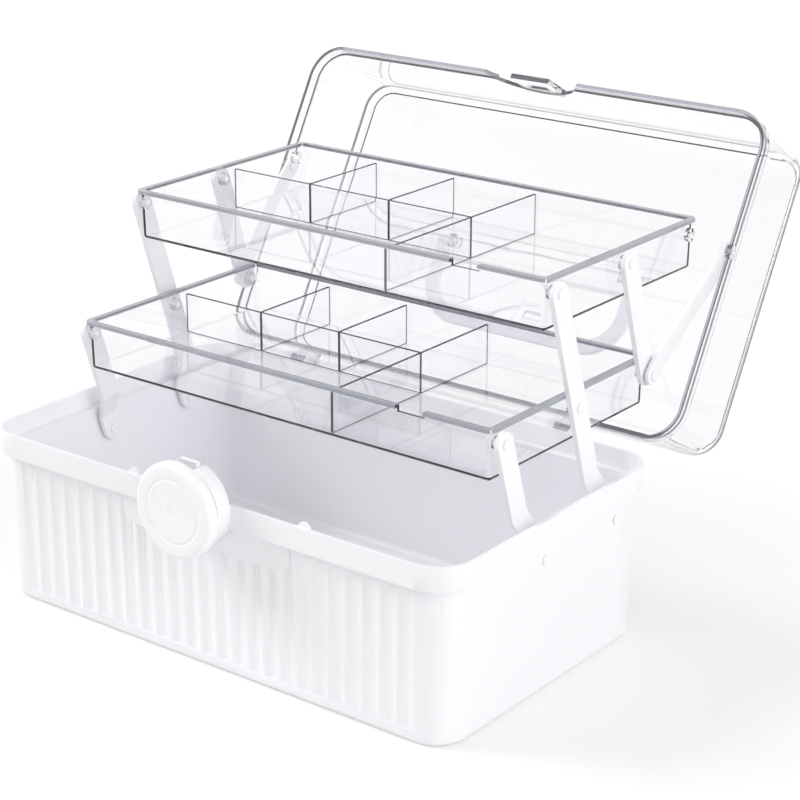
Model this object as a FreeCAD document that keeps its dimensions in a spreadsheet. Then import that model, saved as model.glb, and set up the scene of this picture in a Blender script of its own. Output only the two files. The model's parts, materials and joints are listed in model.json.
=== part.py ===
import FreeCAD, Part
import math
import os
import Sketcher

# Sewing box with a clear lid, two clear trays that rise on arms as the lid opens, a bail handle on
# the lid and a round press latch at the front. Millimetres, +X to the right, +Y to the back, +Z up.
# The origin is the middle of the tub's underside. The model stands open, as the rest pose.
# Everything on the lid is drawn with the lid shut and then turned back about the hinge.

SIZES = (
    ("rim_length", 322.0, "outside length of the rim band"),
    ("rim_depth", 191.0, "outside depth of the rim band"),
    ("rim_radius", 21.0, "outside corner radius of the rim band"),
    ("base_height", 100.5, "tub height, floor to rim"),
    ("band_height", 13.0, "height of the rim band"),
    ("band_wall", 2.2, "thickness of the rim band and of its ledge"),
    ("wall_step", 4.3, "how far the wall stands in behind the rim band"),
    ("corner_spread", 2.0, "how much rounder the wall's corners are than parallel ones"),
    ("wall_thick", 2.4, "tub wall"),
    ("wall_draft", 1.0, "how far the wall leans in by the foot, each side"),
    ("floor_thick", 2.5, "tub floor"),
    ("foot_radius", 3.0, "rounding of the tub's bottom edge"),
    ("flute_pitch", 11.0, "spacing of the flutes"),
    ("flute_count", 25.0, "flutes on one long wall"),
    ("flute_depth", 1.1, "depth of a flute"),
    ("flute_width", 9.4, "width of a flute"),
    ("flute_start", 7.0, "height at which the flutes begin"),
    ("flute_stop", 3.5, "gap between the flutes and the rim band"),
    ("plate_width", 115.0, "width of the smooth latch plate"),
    ("plate_drop", 17.0, "how far the latch plate reaches below the rim band"),
    ("plate_proud", 0.8, "how far the latch plate stands out of the wall"),
    ("plate_radius", 8.0, "lower corner radius of the latch plate"),
    ("nub_radius", 3.6, "radius of the two nubs inside the front rim"),
    ("nub_rise", 2.4, "how far a nub stands up past the rim"),
    ("nub_thick", 2.0, "thickness of a nub"),
    ("nub_gap", 0.3, "gap between a nub and the lid's skirt"),
    ("nub_left", 48.0, "left nub from the middle of the box"),
    ("nub_right", 69.0, "right nub from the middle of the box"),
    ("seat_gap", 0.4, "gap between the tub's rim and the shut lid"),
    ("lid_height", 64.5, "lid height, rim to top"),
    ("skirt_height", 8.0, "height of the lid's skirt band"),
    ("skirt_step", 1.2, "how far the lid wall stands in above the skirt"),
    ("lid_draft", 1.8, "how far the lid wall leans in by the top, each side"),
    ("lid_wall", 2.2, "lid wall and top panel"),
    ("lid_edge", 5.5, "rounding of the lid's top edge"),
    ("arch_width", 65.0, "width of the arched notch over the button"),
    ("arch_rise", 20.0, "height of the arched notch"),
    ("tongue_width", 27.0, "width of the lid's catch tongue"),
    ("tongue_thick", 3.0, "thickness of the catch tongue"),
    ("window_width", 14.0, "width of the window in the tongue"),
    ("window_height", 5.5, "height of the window in the tongue"),
    ("hinge_back", 7.0, "hinge axis behind the rim band"),
    ("hinge_drop", 2.0, "hinge axis below the tub's rim"),
    ("hinge_spread", 95.0, "middle of each hinge from the middle of the box"),
    ("knuckle_radius", 4.5, "outside radius of the hinge knuckles"),
    ("knuckle_width", 10.0, "width of the lid's knuckle"),
    ("lug_width", 5.0, "width of each hinge lug on the tub"),
    ("web_top", 1.5, "how far a hinge web stands out at its top"),
    ("web_heel", 0.6, "how far the knuckle's web stands out at the lid's edge"),
    ("web_bite", 0.5, "how far the knuckle's web runs into its barrel"),
    ("hinge_gap", 0.3, "side gap between knuckle and lugs"),
    ("pin_radius", 1.5, "radius of the hinge, link and handle pins"),
    ("pin_fit", 0.05, "running gap round a pin"),
    ("open_angle", 119.3, "how far the lid is turned back in the rest pose"),
    ("tray_length", 283.0, "tray length over its flange"),
    ("tray_depth", 148.0, "tray depth over its flange"),
    ("tray_height", 28.6, "tray height"),
    ("tray_wall", 1.8, "tray wall"),
    ("tray_floor", 1.8, "tray floor"),
    ("tray_flange", 2.0, "width of the tray's flange"),
    ("flange_thick", 2.0, "thickness of the tray's flange"),
    ("tray_draft", 0.5, "how far the tray wall leans in by the floor, each side"),
    ("tray_radius", 4.5, "outside corner radius of the tray's flange"),
    ("tray_edge", 2.0, "rounding of the tray's bottom edge"),
    ("boss_radius", 3.8, "radius of the tray's pivot bosses"),
    ("boss_reach", 0.5, "how far the pivot bosses stand out past the flange"),
    ("pivot_drop", 8.5, "tray pivots below the tray's rim"),
    ("front_inset", 7.5, "tray's front pivot behind its front edge"),
    ("notch_width", 17.5, "width of the notch in the tray's front edge"),
    ("notch_depth", 4.0, "depth of the notch in the tray's front edge"),
    ("notch_place", 90.0, "middle of the notch to the right of the tray's middle"),
    ("divider_thick", 1.6, "thickness of a divider plate"),
    ("divider_drop", 3.0, "top of the dividers below the tray's rim"),
    ("divider_gap", 0.2, "gap between a divider's end and a wall"),
    ("column_pitch", 58.0, "spacing of the cross dividers"),
    ("divider_back", 7.0, "long divider behind the tray's middle"),
    ("pivot_front", -5.5, "front arm's pivot on the tub, front to back"),
    ("pivot_height", 75.5, "height of the arms' pivots on the tub"),
    ("pivot_spacing", 66.5, "spacing of neighbouring pivots, tub and trays alike"),
    ("arm_reach", 70.0, "distance between neighbouring pivots of an arm"),
    ("arm_angle", 107.5, "arms' angle from the level in the rest pose"),
    ("arm_width", 13.0, "width of an arm"),
    ("arm_thick", 3.0, "thickness of an arm"),
    ("arm_gap", 0.3, "gap between moving layers"),
    ("wall_gap", 0.6, "gap between the arms' feet and the tub wall"),
    ("end_flat", 0.2, "flat left at the middle of a strip's round end"),
    ("crank_start", 10.0, "where an arm starts to crank inwards, from its foot pivot"),
    ("crank_stop", 25.0, "where the crank ends"),
    ("rivet_radius", 1.8, "radius of a rivet's shank"),
    ("head_radius", 2.8, "radius of a rivet's head"),
    ("head_thick", 1.0, "thickness of a rivet's head"),
    ("link_thick", 2.5, "thickness of the lid link"),
    ("link_width", 11.0, "width of the lid link"),
    ("link_back", 112.0, "link's seat on the lid, from the lid's rear edge"),
    ("link_rise", 4.0, "link's seat above the lid's rim"),
    ("seat_radius", 4.0, "radius of the link's seat boss"),
    ("seat_reach", 1.4, "how far the seat boss stands into the lid"),
    ("handle_width", 148.0, "outside width of the handle"),
    ("handle_drop", 49.5, "handle pivots to the outside of the grip"),
    ("handle_radius", 28.0, "outside corner radius of the handle"),
    ("strap_width", 8.5, "width of the handle's strap"),
    ("strap_thick", 5.0, "thickness of the handle's strap"),
    ("handle_rise", 4.2, "handle pivots above the lid's top"),
    ("handle_place", 0.0, "handle pivots behind the middle of the lid"),
    ("ear_width", 5.5, "width of the lid's handle ears"),
    ("ear_radius", 4.1, "outside radius of the handle ears"),
    ("ear_gap", 0.4, "side gap between handle and ears"),
    ("eye_radius", 3.6, "radius of the handle's eyes"),
    ("button_height", 97.5, "height of the button's middle"),
    ("button_radius", 26.2, "radius of the button's face"),
    ("button_thick", 6.2, "thickness of the button's face"),
    ("button_edge", 3.4, "rounding of the button's front edge"),
    ("ring_radius", 17.5, "radius of the ring groove on the button"),
    ("ring_width", 0.8, "width of the ring groove"),
    ("mark_depth", 0.4, "depth of the ring groove and of the middle dimple"),
    ("dimple_radius", 3.3, "radius of the middle dimple"),
    ("skirt_wall", 2.6, "wall of the button's guide skirt"),
    ("skirt_overlap", 0.8, "how far the guide skirt stands in the collar"),
    ("press_travel", 3.0, "how far the button presses in"),
    ("press_spare", 0.6, "gap left behind the button when it is pressed"),
    ("collar_radius", 23.0, "outside radius of the collar"),
    ("collar_wall", 2.4, "wall of the collar"),
    ("collar_reach", 9.7, "collar's front edge in front of the rim band"),
    ("back_thick", 2.5, "thickness of the collar's back plate"),
    ("slot_width", 13.2, "width of the slot that the hook moves in"),
    ("peg_radius", 2.4, "radius of the collar's pegs"),
    ("peg_spread", 15.0, "collar's pegs from the middle"),
    ("peg_height", 94.5, "height of the collar's pegs"),
    ("hook_width", 12.0, "width of the hook"),
    ("hook_room", 1.0, "gap behind the hook and below its foot"),
    ("hook_thick", 2.6, "thickness of the hook"),
    ("hook_pivot", 101.0, "height of the hook's pivot"),
    ("hook_up", 21.0, "hook's tip above its pivot"),
    ("hook_down", 21.0, "hook's foot below its pivot"),
    ("nose_low", 10.5, "underside of the hook's nose above the pivot"),
    ("nose_high", 13.5, "top of the hook's nose above the pivot"),
    ("nose_slope", 1.0, "how much lower the nose is at its edge"),
    ("nose_gap", 0.25, "gap between the nose and the tongue"),
    ("window_room", 1.0, "gap under the nose in the tongue's window"),
    ("hook_pin_radius", 1.2, "radius of the hook's pin"),
    ("cheek_thick", 2.5, "thickness of the cheeks that hold the hook's pin"),
    ("cheek_tall", 3.6, "cheeks above and below the hook's pin"),
    ("cheek_reach", 4.6, "how far the cheeks stand out of the back plate"),
    ("stem_radius", 2.2, "radius of the button's stem"),
    ("stem_round", 1.5, "rounding of the stem's end"),
    ("stem_drop", 17.0, "button's stem below the hook's pivot"),
    ("stem_gap", 0.4, "gap between the stem and the hook"),
    ("spring_radius", 2.9, "mean radius of a button spring"),
    ("wire_radius", 0.4, "wire of a button spring"),
    ("spring_spread", 13.6, "springs from the middle of the button"),
    ("spring_turns", 4.0, "turns of a button spring"),
)

doc = FreeCAD.newDocument("sewing_box")
sheet = doc.addObject("Spreadsheet::Sheet", "sizes")
numbers = {}
for row, (name, number, meaning) in enumerate(SIZES, start=1):
    sheet.set("A%d" % row, str(number))
    sheet.setAlias("A%d" % row, name)
    sheet.set("B%d" % row, meaning)
    numbers[name] = number
doc.recompute()


class Size:
    """A number together with the sheet expression that it comes from."""

    def __init__(self, text, number):
        self.text = text
        self.number = number

    def __add__(self, other):
        return join(self, "+", other, self.number + as_size(other).number)

    def __radd__(self, other):
        return as_size(other) + self

    def __sub__(self, other):
        return join(self, "-", other, self.number - as_size(other).number)

    def __rsub__(self, other):
        return as_size(other) - self

    def __mul__(self, other):
        return join(self, "*", other, self.number * as_size(other).number)

    def __rmul__(self, other):
        return as_size(other) * self

    def __truediv__(self, other):
        return join(self, "/", other, self.number / as_size(other).number)

    def __neg__(self):
        return as_size(0) - self


def as_size(value):
    """Make a Size of a plain number, and leave a Size alone."""
    if isinstance(value, Size):
        return value
    return Size("(%.6g)" % value, float(value))


def join(first, mark, second, number):
    """Write two sizes and the sign between them as one expression."""
    return Size("(%s %s %s)" % (first.text, mark, as_size(second).text), number)


def size(name):
    """Look a driving dimension up by its name."""
    return Size("sizes." + name, numbers[name])


def cosine(angle):
    return Size("cos(%s)" % angle.text, math.cos(math.radians(angle.number)))


def sine(angle):
    return Size("sin(%s)" % angle.text, math.sin(math.radians(angle.number)))


def root(value):
    return Size("sqrt(%s)" % value.text, math.sqrt(value.number))


def bind(thing, prop, value):
    """Tie a property to the sheet."""
    thing.setExpression(prop, as_size(value).text)


# Places that several pieces share, worked out from the driving dimensions.
band_front = -size("rim_depth") / 2
band_back = size("rim_depth") / 2
shoulder = size("base_height") - size("band_height")
ledge = shoulder + size("band_wall")
shoulder_length = size("rim_length") - size("wall_step") * 2
shoulder_depth = size("rim_depth") - size("wall_step") * 2
foot_depth = shoulder_depth - size("wall_draft") * 2
wall_radius = size("rim_radius") - size("wall_step") + size("corner_spread")
plate_face = -shoulder_depth / 2 - size("plate_proud")
hinge_y = band_back + size("hinge_back")
hinge_z = size("base_height") - size("hinge_drop")
lid_low = size("base_height") + size("seat_gap")
lid_top = lid_low + size("lid_height")
skirt_top = lid_low + size("skirt_height")
lid_length = size("rim_length") - size("skirt_step") * 2
lid_depth = size("rim_depth") - size("skirt_step") * 2
lid_radius = size("rim_radius") - size("skirt_step")

arm_run = size("arm_reach") * cosine(size("arm_angle"))
arm_climb = size("arm_reach") * sine(size("arm_angle"))
boss_face = size("tray_length") / 2 + size("boss_reach")
arm_face = boss_face + size("arm_gap")
tub_inside = shoulder_length / 2 - size("wall_draft") - size("wall_thick")
foot_face = tub_inside - size("wall_gap") - size("arm_thick")
tub_outside = (shoulder_length / 2
               - size("wall_draft") * (shoulder - size("pivot_height")) / shoulder)
link_face = arm_face + size("arm_thick") + size("head_thick") + size("arm_gap")
lid_inside = size("rim_length") / 2 - size("lid_wall")
seat_face = lid_inside - size("seat_reach")
link_seat_y = band_back - size("link_back")
link_seat_z = lid_low + size("link_rise")

pivot_rear = size("pivot_front") + size("pivot_spacing")
lower_pivot_y = size("pivot_front") + arm_run
lower_pivot_z = size("pivot_height") + arm_climb
upper_pivot_y = pivot_rear + arm_run * 2
upper_pivot_z = size("pivot_height") + arm_climb * 2


def turned_y(y, z):
    """Where a point of the shut lid goes, front to back, when the lid is open."""
    return (hinge_y + (y - hinge_y) * cosine(size("open_angle"))
            + (z - hinge_z) * sine(size("open_angle")))


def turned_z(y, z):
    """Where a point of the shut lid goes in height when the lid is open."""
    return (hinge_z - (y - hinge_y) * sine(size("open_angle"))
            + (z - hinge_z) * cosine(size("open_angle")))


def open_with_lid(piece):
    """Turn a piece that was drawn on the shut lid back about the hinge."""
    turn = FreeCAD.Rotation(FreeCAD.Vector(1, 0, 0), -numbers["open_angle"])
    piece.Placement = FreeCAD.Placement(FreeCAD.Vector(0, 0, 0), turn)
    bind(piece, "Placement.Rotation.Angle", -size("open_angle"))
    bind(piece, "Placement.Base.y", turned_y(as_size(0), as_size(0)))
    bind(piece, "Placement.Base.z", turned_z(as_size(0), as_size(0)))


# Sketches and features

def new_body(name):
    body = doc.addObject("PartDesign::Body", name)
    body.Label = name
    return body


def origin_item(body, role):
    """Find one of the body's own origin planes or axes."""
    for item in body.Origin.OriginFeatures:
        if item.Role == role:
            return item
    raise RuntimeError("no origin item " + role)


def new_sketch(body, name, plane, offset=0, rise=0):
    """Attach an empty sketch to one of the body's planes, moved along its normal and up."""
    sketch = body.newObject("Sketcher::SketchObject", body.Name + "_" + name)
    sketch.AttachmentSupport = (origin_item(body, plane), [""])
    sketch.MapMode = "FlatFace"
    bind(sketch, "AttachmentOffset.Base.z", offset)
    bind(sketch, "AttachmentOffset.Base.y", rise)
    return sketch


def hold(sketch, constraint, value):
    """Add a dimension to a sketch and tie it to the sheet."""
    index = sketch.addConstraint(constraint)
    bind(sketch, "Constraints[%d]" % index, value)


def pin_point(sketch, item, end, x, y):
    """Fix one point of a sketch by its two coordinates."""
    hold(sketch, Sketcher.Constraint("DistanceX", item, end, x.number), x)
    hold(sketch, Sketcher.Constraint("DistanceY", item, end, y.number), y)


def draw_polygon(sketch, points):
    """Draw a closed outline through points given as sizes."""
    points = [(as_size(x), as_size(y)) for x, y in points]
    ends = [FreeCAD.Vector(x.number, y.number, 0) for x, y in points]
    first = sketch.GeometryCount
    count = len(ends)
    for index in range(count):
        sketch.addGeometry(Part.LineSegment(ends[index], ends[(index + 1) % count]), False)
    for index in range(count):
        after = first + (index + 1) % count
        sketch.addConstraint(Sketcher.Constraint("Coincident", first + index, 2, after, 1))
    for index, (x, y) in enumerate(points):
        pin_point(sketch, first + index, 1, x, y)


def draw_box(sketch, left, low, right, high):
    draw_polygon(sketch, ((left, low), (right, low), (right, high), (left, high)))


def draw_circle(sketch, x, y, radius):
    x, y, radius = as_size(x), as_size(y), as_size(radius)
    middle = FreeCAD.Vector(x.number, y.number, 0)
    item = sketch.addGeometry(Part.Circle(middle, FreeCAD.Vector(0, 0, 1), radius.number), False)
    pin_point(sketch, item, 3, x, y)
    hold(sketch, Sketcher.Constraint("Radius", item, radius.number), radius)


def draw_round_box(sketch, length, depth, radius):
    """Draw a rectangle with round corners about the sketch's origin."""
    half_x, half_y, corner = length.number / 2, depth.number / 2, radius.number
    signs = ((1, -1), (1, 1), (-1, 1), (-1, -1))
    first = sketch.GeometryCount
    for index, (right, up) in enumerate(signs):
        middle = FreeCAD.Vector(right * (half_x - corner), up * (half_y - corner), 0)
        circle = Part.Circle(middle, FreeCAD.Vector(0, 0, 1), corner)
        start = (index - 1) * math.pi / 2
        sketch.addGeometry(Part.ArcOfCircle(circle, start, start + math.pi / 2), False)
    for index in range(4):
        begin = sketch.getPoint(first + index, 2)
        finish = sketch.getPoint(first + (index + 1) % 4, 1)
        sketch.addGeometry(Part.LineSegment(begin, finish), False)
    for index in range(4):
        line = first + 4 + index
        sketch.addConstraint(Sketcher.Constraint("Tangent", first + index, 2, line, 1))
        sketch.addConstraint(Sketcher.Constraint("Tangent", line, 2, first + (index + 1) % 4, 1))
    hold(sketch, Sketcher.Constraint("Radius", first, corner), radius)
    for index in range(1, 4):
        sketch.addConstraint(Sketcher.Constraint("Equal", first, first + index))
    for index, (along, value) in enumerate((("X", length), ("Y", depth), ("X", length), ("Y", depth))):
        line = first + 4 + index
        sign = (1, 1, -1, -1)[index]
        kind = "Vertical" if along == "X" else "Horizontal"
        if index < 3:
            sketch.addConstraint(Sketcher.Constraint(kind, line))
        reach = value * (sign * 0.5)
        hold(sketch, Sketcher.Constraint("Distance" + along, line, 1, reach.number), reach)


def round_box_sketch(body, name, length, depth, radius, height):
    sketch = new_sketch(body, name, "XY_Plane", height)
    draw_round_box(sketch, as_size(length), as_size(depth), as_size(radius))
    return sketch


def pad(body, sketch, length, midplane=False, reverse=False):
    feature = body.newObject("PartDesign::Pad", sketch.Name + "_pad")
    feature.Profile = sketch
    feature.Midplane = midplane
    feature.Reversed = reverse
    bind(feature, "Length", length)
    return feature


def pocket(body, sketch, length=None, midplane=False, reverse=False):
    """Cut a sketch out of the body, and make sure that it took something away."""
    doc.recompute()
    before = body.Shape.Volume
    feature = body.newObject("PartDesign::Pocket", sketch.Name + "_pocket")
    feature.Profile = sketch
    feature.Midplane = midplane
    feature.Reversed = reverse
    if length is None:
        feature.Type = "ThroughAll"
    else:
        bind(feature, "Length", length)
    doc.recompute()
    if body.Shape.Volume > before - 0.01:
        raise RuntimeError(feature.Name + " cuts nothing")
    return feature


def lean_in(feature, lean, length):
    """Give a pad or pocket walls that lean in by a set amount over its length."""
    bind(feature, "TaperAngle", Size("-atan(%s)" % (lean / length).text,
                                     -math.degrees(math.atan((lean / length).number))))
    doc.recompute()


def middle_of(edge):
    return edge.valueAt((edge.FirstParameter + edge.LastParameter) / 2)


def round_edges(body, name, radius, chosen):
    """Fillet the edges of the body for which chosen says yes."""
    doc.recompute()
    before = body.Tip
    names = []
    for index, edge in enumerate(before.Shape.Edges, start=1):
        if chosen(edge):
            names.append("Edge%d" % index)
    if not names:
        raise RuntimeError(body.Name + " has no edges for " + name)
    feature = body.newObject("PartDesign::Fillet", body.Name + "_" + name)
    feature.Base = (before, names)
    bind(feature, "Radius", radius)
    return feature


def level_edges(height):
    """Choose the edges that lie flat at a height."""
    def chosen(edge):
        box = edge.BoundBox
        return box.ZLength < 0.001 and abs(box.ZMin - height.number) < 0.001
    return chosen


def upright_edges(place):
    """Choose the edges that lie in a plane that faces front."""
    def chosen(edge):
        box = edge.BoundBox
        return box.YLength < 0.001 and abs(box.YMin - place.number) < 0.001
    return chosen


def cylinder(name, x, y, z, radius, length, side):
    """A round bar that starts at x and runs outwards along X, to the right or to the left."""
    bar = doc.addObject("Part::Cylinder", name)
    bar.Placement = FreeCAD.Placement(FreeCAD.Vector(0, 0, 0),
                                      FreeCAD.Rotation(FreeCAD.Vector(0, 1, 0), 90 * side))
    bind(bar, "Radius", radius)
    bind(bar, "Height", length)
    bind(bar, "Placement.Base.x", as_size(x) * side)
    bind(bar, "Placement.Base.y", y)
    bind(bar, "Placement.Base.z", z)
    return bar


def fuse(name, pieces):
    group = doc.addObject("Part::MultiFuse", name)
    group.Label = name
    group.Shapes = pieces
    return group


def plate(name, x, y, z, length, depth, height):
    """A rectangular plate, given by its lowest corner and its three sizes."""
    box = doc.addObject("Part::Box", name)
    box.Label = name
    bind(box, "Length", length)
    bind(box, "Width", depth)
    bind(box, "Height", height)
    bind(box, "Placement.Base.x", x)
    bind(box, "Placement.Base.y", y)
    bind(box, "Placement.Base.z", z)
    return box


nodes = []


def keep(piece):
    """Note a finished piece for writing."""
    nodes.append(piece)
    return piece


# The tub

def cut_flutes(body, side):
    """Cut the row of shallow round flutes down one long wall; side is -1 in front and 1 behind."""
    name = "front" if side < 0 else "rear"
    depth, width = size("flute_depth"), size("flute_width")
    radius = width * width / (depth * 8) + depth / 2
    low, high = size("flute_start"), shoulder - size("flute_stop")
    lean = (shoulder_depth - foot_depth) / 2 / shoulder
    first = -size("flute_pitch") * (size("flute_count") - 1) / 2
    sketch = new_sketch(body, name + "_flute", "YZ_Plane", first)
    axis_low = (foot_depth / 2 + lean * low + radius - depth) * side
    axis_high = (foot_depth / 2 + lean * high + radius - depth) * side
    inward = radius * side
    draw_polygon(sketch, ((axis_low, low), (axis_low - inward, low),
                          (axis_high - inward, high), (axis_high, high)))
    start = FreeCAD.Vector(axis_low.number, low.number, 0)
    finish = FreeCAD.Vector(axis_high.number, high.number, 0)
    axis = sketch.addGeometry(Part.LineSegment(start, finish), True)
    pin_point(sketch, axis, 1, axis_low, low)
    pin_point(sketch, axis, 2, axis_high, high)
    doc.recompute()
    before = body.Shape.Volume
    groove = body.newObject("PartDesign::Groove", body.Name + "_" + name + "_flute_groove")
    groove.Profile = sketch
    groove.ReferenceAxis = (sketch, ["Axis0"])
    groove.Angle = 360
    doc.recompute()
    if body.Shape.Volume > before - 1:
        raise RuntimeError(groove.Name + " cuts nothing")
    row = body.newObject("PartDesign::LinearPattern", body.Name + "_" + name + "_flutes")
    row.Originals = [groove]
    row.Direction = (origin_item(body, "X_Axis"), [""])
    bind(row, "Length", size("flute_pitch") * (size("flute_count") - 1))
    bind(row, "Occurrences", size("flute_count"))
    body.Tip = row


def hinge_lug(body, side):
    """Two lugs with a gap for the lid's knuckle, on the back of the rim band."""
    name = "right" if side > 0 else "left"
    place = size("hinge_spread") * side
    gap = size("knuckle_width") + size("hinge_gap") * 2
    width = gap + size("lug_width") * 2
    radius = size("knuckle_radius")
    inside = band_back - size("band_wall") / 2
    web = new_sketch(body, name + "_lug", "YZ_Plane", place)
    draw_polygon(web, ((inside, hinge_z - radius * 2), (band_back, hinge_z - radius * 2),
                       (hinge_y, hinge_z - radius), (hinge_y, hinge_z + radius),
                       (band_back + size("web_top"), size("base_height")),
                       (inside, size("base_height"))))
    pad(body, web, width, midplane=True)
    barrel = new_sketch(body, name + "_barrel", "YZ_Plane", place)
    draw_circle(barrel, hinge_y, hinge_z, radius)
    pad(body, barrel, width, midplane=True)
    space = new_sketch(body, name + "_gap", "XY_Plane", hinge_z - radius * 3)
    draw_box(space, place - gap / 2, band_back, place + gap / 2, hinge_y + radius * 2)
    pocket(body, space, radius * 6, reverse=True)


def add_nubs(body):
    """Two small round nubs inside the front rim, which find the shut lid's place."""
    inner = band_front + size("band_wall")
    back = inner + size("nub_gap") + size("nub_thick")
    radius = size("nub_radius")
    roots = new_sketch(body, "nub_roots", "XZ_Plane", -back)
    nubs = new_sketch(body, "nubs", "XZ_Plane", -back)
    for place in (-size("nub_left"), size("nub_right")):
        draw_box(roots, place - radius, size("base_height") - radius, place + radius,
                 size("base_height"))
        draw_circle(nubs, place, size("base_height") + size("nub_rise") - radius, radius)
    pad(body, roots, size("nub_gap") + size("nub_thick") + size("band_wall") / 2)
    pad(body, nubs, size("nub_thick"))


def make_tub():
    body = new_body("base_tub")
    wall, radius = size("wall_thick"), wall_radius
    block = round_box_sketch(body, "block", shoulder_length, shoulder_depth, radius, shoulder)
    lean_in(pad(body, block, shoulder, reverse=True), size("wall_draft"), shoulder)
    round_edges(body, "foot_round", size("foot_radius"), level_edges(as_size(0)))
    cut_flutes(body, -1)
    cut_flutes(body, 1)
    band = round_box_sketch(body, "band", size("rim_length"), size("rim_depth"),
                            size("rim_radius"), shoulder)
    pad(body, band, size("band_height"))
    tall = size("plate_drop") + size("plate_radius")
    latch_plate = new_sketch(body, "plate", "XZ_Plane", shoulder_depth / 2 - wall / 2,
                             shoulder + size("plate_radius") - tall / 2)
    draw_round_box(latch_plate, size("plate_width"), tall, size("plate_radius"))
    pad(body, latch_plate, size("plate_proud") + wall / 2)
    for side in (-1, 1):
        hinge_lug(body, side)
    hollow = round_box_sketch(body, "hollow", shoulder_length - wall * 2,
                              shoulder_depth - wall * 2, radius - wall, shoulder)
    deep = shoulder - size("floor_thick")
    lean_in(pocket(body, hollow, deep), size("wall_draft") * deep / shoulder, deep)
    neck = round_box_sketch(body, "neck", shoulder_length - wall * 2, shoulder_depth - wall * 2,
                            radius - wall, size("base_height"))
    pocket(body, neck, size("band_height"))
    mouth = round_box_sketch(body, "mouth", size("rim_length") - size("band_wall") * 2,
                             size("rim_depth") - size("band_wall") * 2,
                             size("rim_radius") - size("band_wall"), size("base_height"))
    pocket(body, mouth, size("band_height") - size("band_wall"))
    round_edges(body, "floor_round", size("foot_radius"), level_edges(size("floor_thick")))
    add_nubs(body)
    pivots = new_sketch(body, "pivots", "YZ_Plane")
    draw_circle(pivots, size("pivot_front"), size("pivot_height"), size("rivet_radius"))
    draw_circle(pivots, pivot_rear, size("pivot_height"), size("rivet_radius"))
    draw_circle(pivots, hinge_y, hinge_z, size("pin_radius"))
    pocket(body, pivots, midplane=True)
    pegs = new_sketch(body, "pegs", "XZ_Plane", size("rim_depth") / 2)
    for side in (-1, 1):
        draw_circle(pegs, size("peg_spread") * side, size("peg_height"), size("peg_radius"))
    pocket(body, pegs, size("band_wall"))
    return keep(body)


# The lid

def make_lid():
    body = new_body("lid_shell")
    wall, radius = size("lid_wall"), lid_radius
    block = round_box_sketch(body, "block", lid_length, lid_depth, radius, skirt_top)
    tall = lid_top - skirt_top
    lean_in(pad(body, block, tall), size("lid_draft"), tall)
    round_edges(body, "top_round", size("lid_edge"), level_edges(lid_top))
    skirt = round_box_sketch(body, "skirt", size("rim_length"), size("rim_depth"),
                             size("rim_radius"), lid_low)
    pad(body, skirt, size("skirt_height"))
    for side in (-1, 1):
        lid_knuckle(body, side)
        handle_ear(body, side)
    hollow = round_box_sketch(body, "hollow", lid_length - wall * 2, lid_depth - wall * 2,
                              radius - wall, skirt_top)
    deep = tall - wall
    lean_in(pocket(body, hollow, deep, reverse=True), size("lid_draft") * deep / tall, deep)
    round_edges(body, "inside_round", size("lid_edge") - wall, level_edges(lid_top - wall))
    neck = round_box_sketch(body, "neck", lid_length - wall * 2, lid_depth - wall * 2,
                            radius - wall, lid_low)
    pocket(body, neck, size("skirt_height"), reverse=True)
    mouth = round_box_sketch(body, "mouth", size("rim_length") - wall * 2,
                             size("rim_depth") - wall * 2, size("rim_radius") - wall, lid_low)
    pocket(body, mouth, size("skirt_height") - wall, reverse=True)
    cut_arch(body)
    for side in (-1, 1):
        link_seat(body, side)
    holes = new_sketch(body, "holes", "YZ_Plane")
    draw_circle(holes, hinge_y, hinge_z, size("pin_radius") + size("pin_fit"))
    draw_circle(holes, link_seat_y, link_seat_z, size("pin_radius"))
    draw_circle(holes, size("handle_place"), lid_top + size("handle_rise"), size("pin_radius"))
    pocket(body, holes, midplane=True)
    open_with_lid(body)
    return keep(body)


def lid_knuckle(body, side):
    """A knuckle that reaches back from the lid's skirt to the hinge pin."""
    name = "right" if side > 0 else "left"
    place = size("hinge_spread") * side
    radius = size("knuckle_radius")
    inside = band_back - size("lid_wall") / 2
    web = new_sketch(body, name + "_knuckle", "YZ_Plane", place)
    draw_polygon(web, ((inside, lid_low), (band_back + size("web_heel"), lid_low),
                       (hinge_y - radius + size("web_bite"), hinge_z),
                       (hinge_y, hinge_z - radius), (hinge_y, hinge_z + radius),
                       (band_back + size("web_top"), skirt_top), (inside, skirt_top)))
    pad(body, web, size("knuckle_width"), midplane=True)
    barrel = new_sketch(body, name + "_barrel", "YZ_Plane", place)
    draw_circle(barrel, hinge_y, hinge_z, radius)
    pad(body, barrel, size("knuckle_width"), midplane=True)


def ear_middle():
    """Middle of the right handle ear, from the middle of the lid."""
    return (size("handle_width") / 2 - size("strap_width") - size("ear_gap")
            - size("ear_width") / 2)


def handle_ear(body, side):
    """An ear on the lid's top that holds one end of the handle."""
    name = "right" if side > 0 else "left"
    place = ear_middle() * side
    radius = size("ear_radius")
    middle_y, middle_z = size("handle_place"), lid_top + size("handle_rise")
    web = new_sketch(body, name + "_ear", "YZ_Plane", place)
    draw_box(web, middle_y - radius, lid_top - size("lid_wall") / 2, middle_y + radius, middle_z)
    pad(body, web, size("ear_width"), midplane=True)
    barrel = new_sketch(body, name + "_ear_top", "YZ_Plane", place)
    draw_circle(barrel, middle_y, middle_z, radius)
    pad(body, barrel, size("ear_width"), midplane=True)


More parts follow.
